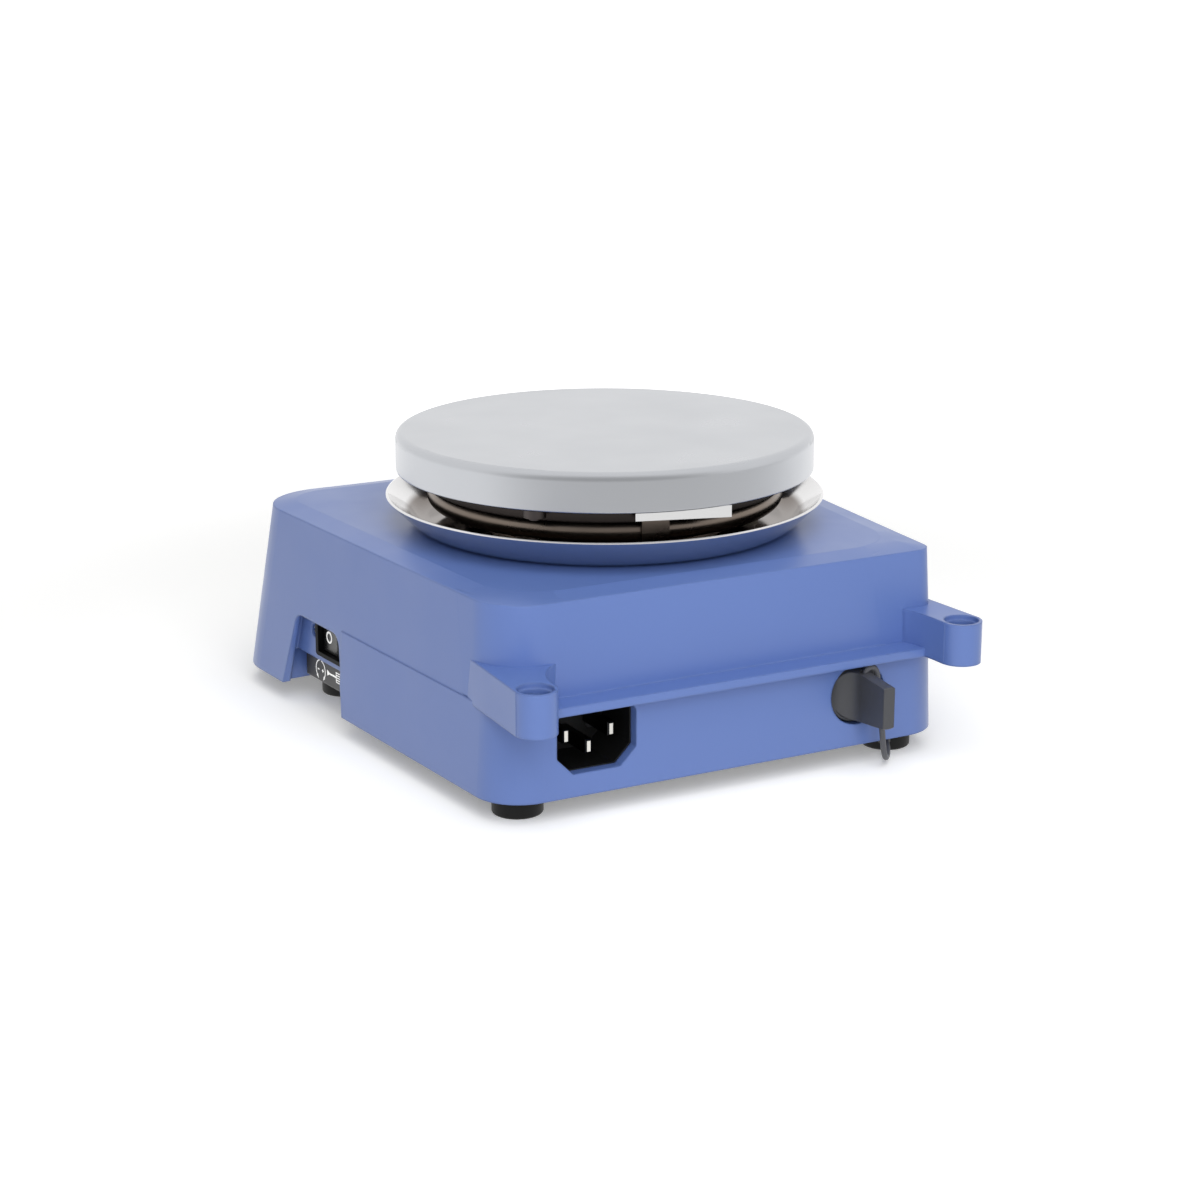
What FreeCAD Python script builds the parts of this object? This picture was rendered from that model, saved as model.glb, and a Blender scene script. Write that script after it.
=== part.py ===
import FreeCAD, Part
import math
import os
import Sketcher

# Hotplate magnetic stirrer: a low moulded housing with a round hot plate above a drip bowl.
# Row frame: floor at z = 0, front with the two knobs at -Y, rod holes and sockets at +Y.
# All y sizes below are measured from the plate's axis, and each piece's Placement moves it
# by plate_axis_y, so that the origin lies below the middle of the whole object.

SIZES = [
    ("plate_axis_y", 6.2, "plate axis, from the origin"),
    ("foot_height", 6.5, "feet"),
    ("foot_radius", 7.25, "feet"),
    ("foot_recess", 2.0, "counterbore for the screw head in each foot"),
    ("foot_x", 61.1, "feet, to each side"),
    ("foot_rear_y", 62.9, "rear feet"),
    ("foot_front_y", -60.2, "front feet"),
    ("base_thickness", 2.0, "base plate"),
    ("base_gap", 0.3, "base plate edge to the housing"),
    ("side_half", 78.35, "half width at the plate's axis, bottom edge"),
    ("side_taper", 0.0758, "half width lost per mm towards the rear"),
    ("side_draft", 0.0514, "half width lost per mm of height"),
    ("rear_wall_y", 72.9, "upper rear wall at the bottom edge"),
    ("rear_draft", 0.030, "rear wall draft"),
    ("front_wall_y", -99.0, "front wall at the bottom edge"),
    ("front_slope", 0.275, "front wall slope"),
    ("deck_drop", 28.5, "flat top of the housing, below the top of the hot plate"),
    ("bevel_drop", 1.2, "outer edge of the top bevel, below the flat top"),
    ("bevel_width", 7.3, "bevel round the top"),
    ("wall", 2.5, "housing wall"),
    ("corner_rear_low", 13.6, "rear corner radius, bottom"),
    ("corner_rear_high", 25.0, "rear corner radius, shoulder"),
    ("corner_front_low", 22.0, "front corner radius, bottom"),
    ("corner_front_high", 20.0, "front corner radius, shoulder"),
    ("skirt_rear_y", 76.2, "rear face of the skirt"),
    ("skirt_wall", 3.3, "rear wall of the skirt"),
    ("skirt_step", 0.35, "skirt stands proud of the sides"),
    ("skirt_front_y", -19.0, "front end of the skirt"),
    ("skirt_top", 31.6, "underside of the rim"),
    ("skirt_roof_rise", 0.9, "hollow of the skirt, above the rim's underside"),
    ("rim_thickness", 2.5, "rim across the back"),
    ("rim_y", 80.5, "rear edge of the rim"),
    ("ear_x", 68.27, "rod hole, to each side"),
    ("ear_y", 88.76, "rod hole"),
    ("ear_radius", 6.0, "boss round the rod hole"),
    ("ear_top", 43.9, "top of the ears"),
    ("ear_root_x", 72.6, "outer wall of the ear at its root"),
    ("rod_bore", 4.25, "core radius of the M10 thread"),
    ("rod_mouth", 5.0, "counterbore radius over the thread"),
    ("rod_mouth_depth", 1.3, "counterbore over the thread"),
    ("deck_hole", 31.0, "hole in the deck for the magnet drive"),
    ("pillar_radius", 3.9, "screw pillars inside the housing"),
    ("pillar_top", 28.0, "top of the screw pillars"),
    ("rib_thickness", 2.0, "ribs that tie the pillars to the walls"),
    ("foot_screw_radius", 2.0, "screw through foot and base"),
    ("foot_screw_head", 3.6, "screw head radius"),
    ("foot_screw_length", 14.0, "screw shank"),
    ("plate_radius", 62.5, "hot plate"),
    ("plate_top", 90.5, "top of the hot plate"),
    ("plate_thickness", 11.5, "hot plate"),
    ("plate_edge", 2.4, "rounding of the plate's top edge"),
    ("shoe_inner", 46.5, "ring under the plate that the heater lies in"),
    ("shoe_width", 7.0, "ring under the plate that the heater lies in"),
    ("shoe_depth", 4.6, "ring under the plate that the heater lies in"),
    ("heater_tube", 3.4, "tube radius of the heater"),
    ("heater_seat", 0.4, "heater in its groove under the plate"),
    ("heater_bend", 7.0, "bend radius of the heater's cold ends"),
    ("heater_gap_half", 14.0, "cold end, to each side of the middle"),
    ("heater_entry", 3.7, "radius of the holes that the cold ends pass"),
    ("heater_tail", 10.0, "cold ends of the heater, below the flat top of the housing"),
    ("clamp_gap", 0.3, "heater saddles to the ring under the plate"),
    ("clamp_sheet", 0.8, "sheet of the saddles and of the angle strip"),
    ("strip_gap", 1.4, "angle strip to the ring under the plate"),
    ("strip_width", 2.3, "angle strip under the plate"),
    ("strip_drop", 3.5, "angle strip under the plate"),
    ("strip_length", 27.6, "angle strip under the plate"),
    ("strip_start", 2.6, "near end of the angle strip, from the plate's radius it is square to"),
    ("bowl_rim", 65.8, "drip bowl rim radius"),
    ("bowl_rise", 9.7, "drip bowl rim, above the flat top of the housing"),
    ("bowl_base", 56.5, "radius of the bowl's flat floor"),
    ("bowl_hole", 30.0, "centre hole of the bowl"),
    ("bowl_sheet", 0.8, "sheet of the bowl"),
    ("cover_radius", 33.5, "magnet cover"),
    ("cover_gap", 1.8, "magnet cover to the hot plate"),
    ("cover_sheet", 0.8, "sheet of the magnet cover"),
    ("cover_flange", 37.5, "flange of the magnet cover"),
    ("post_inset", 4.5, "posts that carry the plate, inside the heater's ring"),
    ("post_radius", 3.5, "posts that carry the plate"),
    ("sensor_inset", 5.0, "temperature sensor, inside the heater's ring"),
    ("cutout_inset", 6.2, "thermal cut-out, inside the heater's ring"),
    ("washer_radius", 4.2, "insulating washers of the posts"),
    ("washer_thickness", 1.6, "insulating washers of the posts"),
    ("post_screw", 1.9, "screw in each post"),
    ("post_screw_grip", 5.0, "screw of each post, in the hot plate"),
    ("bracket_drop", 10.5, "motor bracket, below the flat top of the housing"),
    ("bracket_thickness", 1.5, "motor bracket"),
    ("bracket_reach", 40.0, "screw bosses of the motor bracket, from the axis"),
    ("boss_radius", 4.0, "screw bosses of the motor bracket"),
    ("motor_screw", 1.5, "screws of the motor bracket"),
    ("motor_radius", 24.0, "motor case"),
    ("motor_length", 28.0, "motor case"),
    ("motor_sheet", 1.2, "sheet of the motor case"),
    ("shaft_radius", 3.0, "motor shaft"),
    ("shaft_tail", 3.5, "motor shaft below the motor case"),
    ("shaft_rise", 6.0, "motor shaft above the flat top of the housing"),
    ("shaft_play", 0.05, "running clearance in the bearings"),
    ("bearing_radius", 8.0, "motor bearings"),
    ("bearing_width", 5.0, "motor bearings"),
    ("rotor_radius", 12.0, "motor rotor"),
    ("rotor_gap", 0.5, "rotor to stator"),
    ("stator_height", 16.0, "stator stack"),
    ("yoke_length", 54.0, "magnet yoke"),
    ("yoke_width", 17.0, "magnet yoke"),
    ("yoke_rise", 2.2, "magnet yoke above the flat top of the housing"),
    ("yoke_thickness", 3.0, "magnet yoke"),
    ("magnet_radius", 7.5, "drive magnets"),
    ("magnet_height", 8.0, "drive magnets"),
    ("magnet_offset", 18.0, "drive magnets, from the axis"),
    ("inlet_x", 43.3, "middle of the mains inlet"),
    ("inlet_z", 22.0, "middle of the mains inlet"),
    ("inlet_width", 24.6, "mouth of the mains inlet"),
    ("inlet_height", 17.8, "mouth of the mains inlet"),
    ("inlet_cut", 5.0, "lower corners of the mouth"),
    ("inlet_round", 3.0, "upper corners of the mouth"),
    ("inlet_depth", 16.5, "inlet cavity"),
    ("inlet_flange", 3.0, "flange of the inlet, all round the mouth"),
    ("flange_top", 0.8, "flange of the inlet above the mouth, below the rim"),
    ("inlet_wall", 1.3, "wall of the inlet behind its flange"),
    ("pin_spacing", 14.0, "line pin to neutral pin"),
    ("earth_drop", 4.0, "earth pin below the other two"),
    ("pin_thick", 2.0, "inlet pins"),
    ("pin_tall", 4.0, "inlet pins"),
    ("pin_length", 15.0, "inlet pins in front of the cavity's floor"),
    ("pin_tip", 0.45, "chamfer at the tip of each pin"),
    ("socket_x", -41.9, "thermometer socket"),
    ("socket_z", 22.1, "thermometer socket"),
    ("socket_hole", 9.15, "hole in the rear wall for the socket"),
    ("socket_flange", 12.0, "socket flange behind the wall"),
    ("socket_depth", 14.0, "socket body"),
    ("contact_ring", 4.2, "socket contacts, from the middle"),
    ("contact_bore", 1.05, "bore of each contact"),
    ("contact_wall", 0.5, "wall of each contact"),
    ("plug_pin", 1.0, "pins of the dummy plug"),
    ("plug_pin_length", 8.5, "pins of the dummy plug"),
    ("plug_radius", 8.7, "round foot of the dummy plug"),
    ("plug_cone", 7.85, "root of the plug's grip, half height"),
    ("plug_gap", 0.2, "foot of the plug to the socket"),
    ("plug_foot", 1.6, "round foot of the dummy plug"),
    ("plug_end_y", 92.0, "end of the plug's grip"),
    ("plug_end_half", 6.2, "half height of the grip's end"),
    ("plug_grip_half", 1.85, "half thickness of the grip"),
    ("plug_flare", 5.4, "hollow curve between foot and grip"),
    ("tether_radius", 0.85, "tether of the dummy plug"),
    ("tether_end_gap", 0.3, "end of the tether to the floor of its bore in the plug"),
    ("anchor_x", -55.6, "boss under the base plate that holds the tether"),
    ("anchor_y", 70.4, "boss under the base plate that holds the tether"),
    ("anchor_radius", 1.8, "boss under the base plate that holds the tether"),
    ("anchor_height", 2.9, "boss under the base plate that holds the tether"),
    ("niche_depth", 4.6, "switch niche, upper wall below the bottom edge's face"),
    ("niche_lip", 1.4, "lip round the mouth of the niche"),
    ("niche_grow", 1.6, "niche behind its lip, wider all round"),
    ("niche_low_depth", 12.2, "lower half of the niche, behind the legend plate"),
    ("niche_step_z", 17.6, "bottom of the niche's upper wall"),
    ("niche_top_z", 31.0, "top of the mouth"),
    ("niche_front_low", -64.8, "front corner of the mouth, bottom edge"),
    ("niche_front_high", -55.2, "front corner of the mouth, top"),
    ("niche_rear_low", -23.4, "rear corner of the mouth, bottom edge"),
    ("niche_rear_high", -27.2, "rear corner of the mouth, top"),
    ("niche_round", 4.5, "upper corners of the mouth"),
    ("switch_s", -36.0, "middle of the rocker switch, along the side wall"),
    ("switch_z", 26.0, "middle of the rocker switch"),
    ("switch_half", 11.6, "half length of the switch's frame"),
    ("switch_tall", 6.4, "half height of the switch's frame"),
    ("switch_frame", 1.0, "frame of the switch"),
    ("switch_depth", 14.0, "switch body behind the wall"),
    ("switch_well", 9.0, "well that the rocker tilts in"),
    ("rocker_half", 9.2, "half length of the rocker"),
    ("rocker_pivot", 2.9, "pivot of the rocker below the niche wall"),
    ("rocker_play", 0.3, "rocker to frame"),
    ("rocker_turn", 8.0, "degrees, each way from the middle"),
    ("adjuster_s", -50.2, "limit adjuster, along the side wall"),
    ("adjuster_z", 26.3, "limit adjuster"),
    ("adjuster_hole", 2.0, "hole over the limit adjuster"),
    ("adjuster_radius", 1.6, "screwdriver spindle of the limit adjuster"),
    ("legend_top", 17.3, "legend plate, upper edge"),
    ("legend_front", -58.6, "legend plate, front end"),
    ("legend_rear", -24.6, "legend plate, rear end"),
    ("legend_depth", 5.7, "face of the legend plate below the bottom edge's face"),
    ("knob_x", 38.0, "knobs, to each side"),
    ("knob_z", 34.0, "knobs"),
    ("knob_radius", 14.0, "knobs"),
    ("knob_height", 13.5, "knobs"),
    ("knob_gap", 0.6, "knobs to the front wall"),
    ("knob_skirt", 3.0, "skirt of the knobs"),
    ("spindle_radius", 3.0, "control spindles"),
    ("spindle_play", 0.05, "running clearance of the spindles"),
    ("bush_radius", 4.5, "threaded bush of the controls"),
    ("bush_gap", 0.4, "bush of the controls in the front wall"),
    ("control_gap", 0.25, "controls to the inside of the wall"),
    ("control_radius", 8.5, "body of the controls"),
    ("control_depth", 9.0, "body of the controls"),
    ("lens_radius", 1.5, "indicator lenses"),
    ("lens_x", 6.0, "indicator lenses, to each side"),
    ("lens_up", 14.5, "indicator lenses above the knobs, along the wall"),
    ("board_length", 96.0, "control board"),
    ("board_width", 46.0, "control board"),
    ("board_thickness", 1.6, "control board"),
    ("board_y", -52.0, "middle of the control board"),
    ("board_z", 15.0, "underside of the control board"),
    ("capacitor_inset", 11.0, "capacitor, from the rear edge of the board"),
    ("standoff_radius", 2.5, "board standoffs"),
]


class Size:
    """A number together with the sheet formula that gives it."""

    def __init__(self, value, formula):
        self.value = float(value)
        self.formula = formula

    def __float__(self):
        return self.value

    def joined(self, sign, value, other):
        return Size(value, f"({self.formula} {sign} {other.formula})")

    def __add__(self, other):
        other = as_size(other)
        return self.joined("+", self.value + other.value, other)

    def __sub__(self, other):
        other = as_size(other)
        return self.joined("-", self.value - other.value, other)

    def __mul__(self, other):
        other = as_size(other)
        return self.joined("*", self.value * other.value, other)

    def __truediv__(self, other):
        other = as_size(other)
        return self.joined("/", self.value / other.value, other)

    def __neg__(self):
        return as_size(0) - self

    def __radd__(self, other):
        return as_size(other) + self

    def __rsub__(self, other):
        return as_size(other) - self

    def __rmul__(self, other):
        return as_size(other) * self


def as_size(number):
    return number if isinstance(number, Size) else Size(number, f"({float(number):.6f})")


class Sheet:
    """The spreadsheet of driving sizes; each alias reads as an attribute."""

    def __init__(self, doc):
        self.sheet = doc.addObject("Spreadsheet::Sheet", "Sizes")
        for row, (alias, value, meaning) in enumerate(SIZES, start=1):
            self.sheet.set(f"A{row}", meaning)
            self.sheet.set(f"B{row}", str(value))
            self.sheet.setAlias(f"B{row}", alias)
            setattr(self, alias, Size(value, f"Sizes.{alias}"))


doc = FreeCAD.newDocument("HotplateStirrer")
D = Sheet(doc)
doc.recompute()
Vector = FreeCAD.Vector
Rotation = FreeCAD.Rotation
UP = Vector(0, 0, 1)
subparts = []


# Helpers: pieces, sketches and features

def bind(thing, prop, size):
    """Set a property from a size and keep it tied to the sheet."""
    size = as_size(size)
    setattr(thing, prop, size.value)
    if "Sizes." in size.formula:
        thing.setExpression(prop, size.formula)


def place(thing, x=0, y=0, z=0, rotation=None):
    """Put a finished piece in the row frame, y counted from the plate's axis."""
    y = y + D.plate_axis_y
    base = Vector(float(x), float(y), float(z))
    thing.Placement = FreeCAD.Placement(base, rotation or Rotation())
    for axis, size in (("x", as_size(x)), ("y", y), ("z", as_size(z))):
        if "Sizes." in size.formula:
            thing.setExpression(f"Placement.Base.{axis}", size.formula)


def keep(thing, label):
    """Name a finished piece: its label is its node and its file."""
    thing.Label = label
    subparts.append(thing)
    return thing


def new_body(name):
    return doc.addObject("PartDesign::Body", name)


def new_sketch(body, role, height=0, turn=None):
    """A sketch on one of the body's own planes, moved along its normal by height."""
    sketch = body.newObject("Sketcher::SketchObject", "Outline")
    plane = [item for item in body.Origin.OriginFeatures if item.Role == role][0]
    sketch.AttachmentSupport = [(plane, "")]
    sketch.MapMode = "FlatFace"
    height = as_size(height)
    offset = FreeCAD.Placement(Vector(0, 0, height.value), turn or Rotation())
    if turn is not None:
        offset = FreeCAD.Placement(Vector(), turn).multiply(
            FreeCAD.Placement(Vector(0, 0, height.value), Rotation()))
    sketch.AttachmentOffset = offset
    if turn is None and "Sizes." in height.formula:
        sketch.setExpression("AttachmentOffset.Base.z", height.formula)
    return sketch


def pin_point(sketch, geometry, position, x, y):
    """Tie one point of the sketch to the sheet."""
    for kind, size in (("DistanceX", as_size(x)), ("DistanceY", as_size(y))):
        rule = Sketcher.Constraint(kind, -1, 1, geometry, position, size.value)
        index = sketch.addConstraint(rule)
        if "Sizes." in size.formula:
            sketch.setExpression(f"Constraints[{index}]", size.formula)


def outline(sketch, corners, radii=None):
    """A closed outline through the corners, each rounded by its radius where that isn't 0."""
    count = len(corners)
    radii = [as_size(r) for r in (radii or [0] * count)]
    points = [Vector(float(x), float(y), 0) for x, y in corners]
    starts, ends, middles = [], [], []
    for i in range(count):
        here = points[i]
        back = (points[i - 1] - here).normalize()
        ahead = (points[(i + 1) % count] - here).normalize()
        half_angle = back.getAngle(ahead) / 2
        reach = radii[i].value / math.tan(half_angle)
        towards = (back + ahead).normalize()
        centre = here + towards * (radii[i].value / math.sin(half_angle))
        starts.append(here + back * reach)
        ends.append(here + ahead * reach)
        middles.append(centre - towards * radii[i].value)
    lines = []
    for i in range(count):
        line = Part.LineSegment(ends[i], starts[(i + 1) % count])
        lines.append(sketch.addGeometry(line, False))
    for i in range(count):
        before, after = lines[i - 1], lines[i]
        if radii[i].value == 0:
            sketch.addConstraint(Sketcher.Constraint("Coincident", before, 2, after, 1))
            pin_point(sketch, after, 1, *corners[i])
            continue
        arc = sketch.addGeometry(Part.Arc(starts[i], middles[i], ends[i]), False)
        first = 1 if (sketch.getPoint(arc, 1) - starts[i]).Length < 1e-6 else 2
        sketch.addConstraint(Sketcher.Constraint("Tangent", before, 2, arc, first))
        sketch.addConstraint(Sketcher.Constraint("Tangent", after, 1, arc, 3 - first))
        index = sketch.addConstraint(Sketcher.Constraint("Radius", arc, radii[i].value))
        if "Sizes." in radii[i].formula:
            sketch.setExpression(f"Constraints[{index}]", radii[i].formula)
        corner = sketch.addGeometry(Part.Point(points[i]), True)
        pin_point(sketch, corner, 1, *corners[i])
        sketch.addConstraint(Sketcher.Constraint("PointOnObject", corner, 1, before))
        sketch.addConstraint(Sketcher.Constraint("PointOnObject", corner, 1, after))
    return sketch


def ring(sketch, radius, x=0, y=0):
    """A full circle in the sketch."""
    radius = as_size(radius)
    circle = Part.Circle(Vector(float(x), float(y), 0), UP, radius.value)
    index = sketch.addGeometry(circle, False)
    pin_point(sketch, index, 3, x, y)
    rule = sketch.addConstraint(Sketcher.Constraint("Radius", index, radius.value))
    if "Sizes." in radius.formula:
        sketch.setExpression(f"Constraints[{rule}]", radius.formula)
    return sketch


def feature(body, kind, sketch):
    thing = body.newObject(f"PartDesign::{kind}", kind)
    thing.Profile = sketch
    return thing


def volume(body):
    doc.recompute()
    return body.Shape.Volume if body.Tip else 0


def pad(body, sketch, length, reverse=False, both=False):
    thing = feature(body, "Pad", sketch)
    bind(thing, "Length", length)
    thing.Reversed = reverse
    thing.Midplane = both
    return thing


def pocket(body, sketch, length, reverse=False, both=False):
    """Cut the sketch out of the body; stops if the cut misses."""
    before = volume(body)
    thing = feature(body, "Pocket", sketch)
    bind(thing, "Length", length)
    thing.Reversed = reverse
    thing.Midplane = both
    if volume(body) >= before - 1e-6:
        raise RuntimeError(f"a pocket of {body.Name} cuts nothing")
    return thing


def revolve(body, sketch):
    thing = feature(body, "Revolution", sketch)
    thing.ReferenceAxis = (sketch, ["V_Axis"])
    thing.Angle = 360
    return thing


def groove(body, sketch):
    before = volume(body)
    thing = feature(body, "Groove", sketch)
    thing.ReferenceAxis = (sketch, ["V_Axis"])
    thing.Angle = 360
    if volume(body) >= before - 1e-6:
        raise RuntimeError(f"a groove of {body.Name} cuts nothing")
    return thing


def loft(body, kind, sketches):
    thing = feature(body, kind, sketches[0])
    thing.Sections = [(sketch, [""]) for sketch in sketches[1:]]
    thing.Ruled = True
    return thing


def turned(label, corners, radii=None, x=0, y=0, z=0, rotation=None):
    """A piece turned about its own upright axis, from its half section."""
    body = new_body("Turned")
    revolve(body, outline(new_sketch(body, "XZ_Plane"), corners, radii))
    place(body, x, y, z, rotation)
    return keep(body, label)


def round_bar(radius, height, low=0):
    bar = doc.addObject("Part::Cylinder", "Bar")
    bind(bar, "Radius", radius)
    bind(bar, "Height", height)
    low = as_size(low)
    bar.Placement.Base.z = low.value
    if "Sizes." in low.formula:
        bar.setExpression("Placement.Base.z", low.formula)
    return bar


def block(length, width, height, x=0, y=0, z=0):
    """A box centred in x and y on the given point."""
    box = doc.addObject("Part::Box", "Block")
    x, y, z = as_size(x) - as_size(length) / 2, as_size(y) - as_size(width) / 2, as_size(z)
    for prop, size in (("Length", length), ("Width", width), ("Height", height)):
        bind(box, prop, size)
    box.Placement.Base = Vector(x.value, y.value, z.value)
    for axis, size in (("x", x), ("y", y), ("z", z)):
        if "Sizes." in size.formula:
            box.setExpression(f"Placement.Base.{axis}", size.formula)
    return box


def at(thing, x=0, y=0, z=0, rotation=None):
    """Place a primitive inside a group that is not yet in the row frame."""
    thing.Placement = FreeCAD.Placement(Vector(float(x), float(y), float(z)), rotation or Rotation())
    for axis, size in (("x", as_size(x)), ("y", as_size(y)), ("z", as_size(z))):
        if "Sizes." in size.formula:
            thing.setExpression(f"Placement.Base.{axis}", size.formula)
    return thing


def fused(*things):
    group = doc.addObject("Part::MultiFuse", "Fuse")
    group.Shapes = list(things)
    return group


def minus(base, *tools):
    cut = doc.addObject("Part::Cut", "Cut")
    cut.Base = base
    cut.Tool = tools[0] if len(tools) == 1 else fused(*tools)
    return cut


def set_of(label, things):
    """Several separate solids that share one node."""
    group = doc.addObject("Part::Compound", "Group")
    group.Links = list(things)
    place(group)
    return keep(group, label)


def screw(shank, head, length, head_height=None):
    """A cheese head screw; its head stands on z = 0 and its shank points down."""
    head_height = head_height or as_size(shank) * 1.2
    return fused(round_bar(head, head_height), round_bar(shank, length, -as_size(length)))


# Directions that several pieces share

FRONT_TILT = math.atan(D.front_slope.value)
FRONT = Rotation(Vector(1, 0, 0), 90 - math.degrees(FRONT_TILT))
SIDE_TURN = math.degrees(math.atan(D.side_taper.value))
SIDE = Rotation(UP, SIDE_TURN)
OUTWARD = SIDE.multVec(Vector(1, 0, 0))
ALONG = SIDE.multVec(Vector(0, 1, 0))
SIDE_FACE = D.side_half.value * math.cos(math.radians(SIDE_TURN))
REAR_FACING = Rotation(Vector(1, 0, 0), -90)
housing_bottom = D.foot_height
deck_z = D.plate_top - D.deck_drop
shoulder_z = deck_z - D.bevel_drop
bracket_top = deck_z - D.bracket_drop


def half_width(y, z):
    """Half width of the housing at y and height z; its sides are plane."""
    return D.side_half - D.side_taper * y - D.side_draft * (as_size(z) - housing_bottom)


def front_at(z):
    return D.front_wall_y + D.front_slope * (as_size(z) - housing_bottom)


def rear_at(z):
    return D.rear_wall_y - D.rear_draft * (as_size(z) - housing_bottom)


def plan(body, z, inset, rear, front, rear_radius, front_radius):
    """The housing's outline at height z, moved inwards by inset; returns its sketch."""
    rear, front = as_size(rear) - inset, as_size(front) + inset
    corners = []
    for sign, y in ((1, front), (1, rear), (-1, rear), (-1, front)):
        corners.append(((half_width(y, z) - inset) * sign, y))
    radii = [front_radius, rear_radius, rear_radius, front_radius]
    return outline(new_sketch(body, "XY_Plane", z), corners, [as_size(r) - inset for r in radii])


def in_side_frame(depth, along, z):
    """A point below the side face by depth, at this place along the wall and height."""
    return OUTWARD * (SIDE_FACE - float(depth)) + ALONG * float(along) + UP * float(z)


def front_sketch(body):
    """A sketch just outside the front wall: its y runs up the wall from the knobs' height."""
    sketch = new_sketch(body, "XY_Plane")
    spot = Vector(0, front_at(D.knob_z).value, D.knob_z.value) + FRONT.multVec(UP)
    sketch.AttachmentOffset = FreeCAD.Placement(spot, FRONT)
    return sketch


def side_sketch(body, depth):
    """A sketch parallel to the bottom edge of the +X wall: its x runs along the wall."""
    sketch = new_sketch(body, "YZ_Plane")
    plane_turn = Rotation(Vector(0, 1, 0), SIDE_TURN)
    shift = plane_turn.multVec(Vector(0, 0, SIDE_FACE - float(depth)))
    sketch.AttachmentOffset = FreeCAD.Placement(shift, plane_turn)
    return sketch


# Housing: a tapered tub with a bevelled top, a skirt and rim at the back, and two ears

def upper_housing():
    body = new_body("UpperHousing")
    low, shoulder, deck = housing_bottom, shoulder_z, deck_z
    mid = plan(body, shoulder, 0, rear_at(shoulder), front_at(shoulder),
               D.corner_rear_high, D.corner_front_high)
    foot = plan(body, low, 0, rear_at(low), front_at(low), D.corner_rear_low, D.corner_front_low)
    crown = plan(body, deck, D.bevel_width, rear_at(shoulder), front_at(shoulder),
                 D.corner_rear_high, D.corner_front_high)
    loft(body, "AdditiveLoft", [foot, mid])
    loft(body, "AdditiveLoft", [mid_copy(body), crown])
    skirt(body)
    rim_and_ears(body)
    inside(body)
    niche(body)
    openings(body)
    place(body)
    return keep(body, "upper_housing")


def mid_copy(body):
    """The shoulder outline again, for the bevel."""
    z = shoulder_z
    return plan(body, z, 0, rear_at(z), front_at(z), D.corner_rear_high, D.corner_front_high)


def skirt(body):
    """The thicker lower wall across the back, a little proud of the sides."""
    sections = []
    for z in (housing_bottom, D.skirt_top + D.rim_thickness / 2):
        corners = []
        for sign, y in ((1, D.skirt_front_y), (1, D.skirt_rear_y),
                        (-1, D.skirt_rear_y), (-1, D.skirt_front_y)):
            corners.append(((half_width(y, z) + D.skirt_step) * sign, y))
        radius = D.corner_rear_low
        sketch = new_sketch(body, "XY_Plane", z)
        sections.append(outline(sketch, corners, [0, radius, radius, 0]))
    loft(body, "AdditiveLoft", sections)


def rim_and_ears(body):
    sketch = new_sketch(body, "XY_Plane", D.skirt_top)
    inner_x = D.ear_x - D.ear_radius
    root_y = D.rear_wall_y - 12
    outline(sketch, [(inner_x + 1, root_y), (inner_x + 1, D.rim_y),
                     (-(inner_x + 1), D.rim_y), (-(inner_x + 1), root_y)])
    pad(body, sketch, D.rim_thickness)
    sketch = new_sketch(body, "XY_Plane", D.skirt_top)
    tip_y = D.ear_y + D.ear_radius
    outer_x = D.ear_x + D.ear_radius + 0.3
    for sign in (1, -1):
        corners = [(inner_x * sign, root_y), (inner_x * sign, tip_y), (outer_x * sign, tip_y),
                   (D.ear_root_x * sign, D.rear_wall_y - 6), (D.ear_root_x * sign - sign * 4, root_y)]
        outline(sketch, corners, [0, D.ear_radius, D.ear_radius - 0.2, 0, 0])
    pad(body, sketch, D.ear_top - D.skirt_top)


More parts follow.
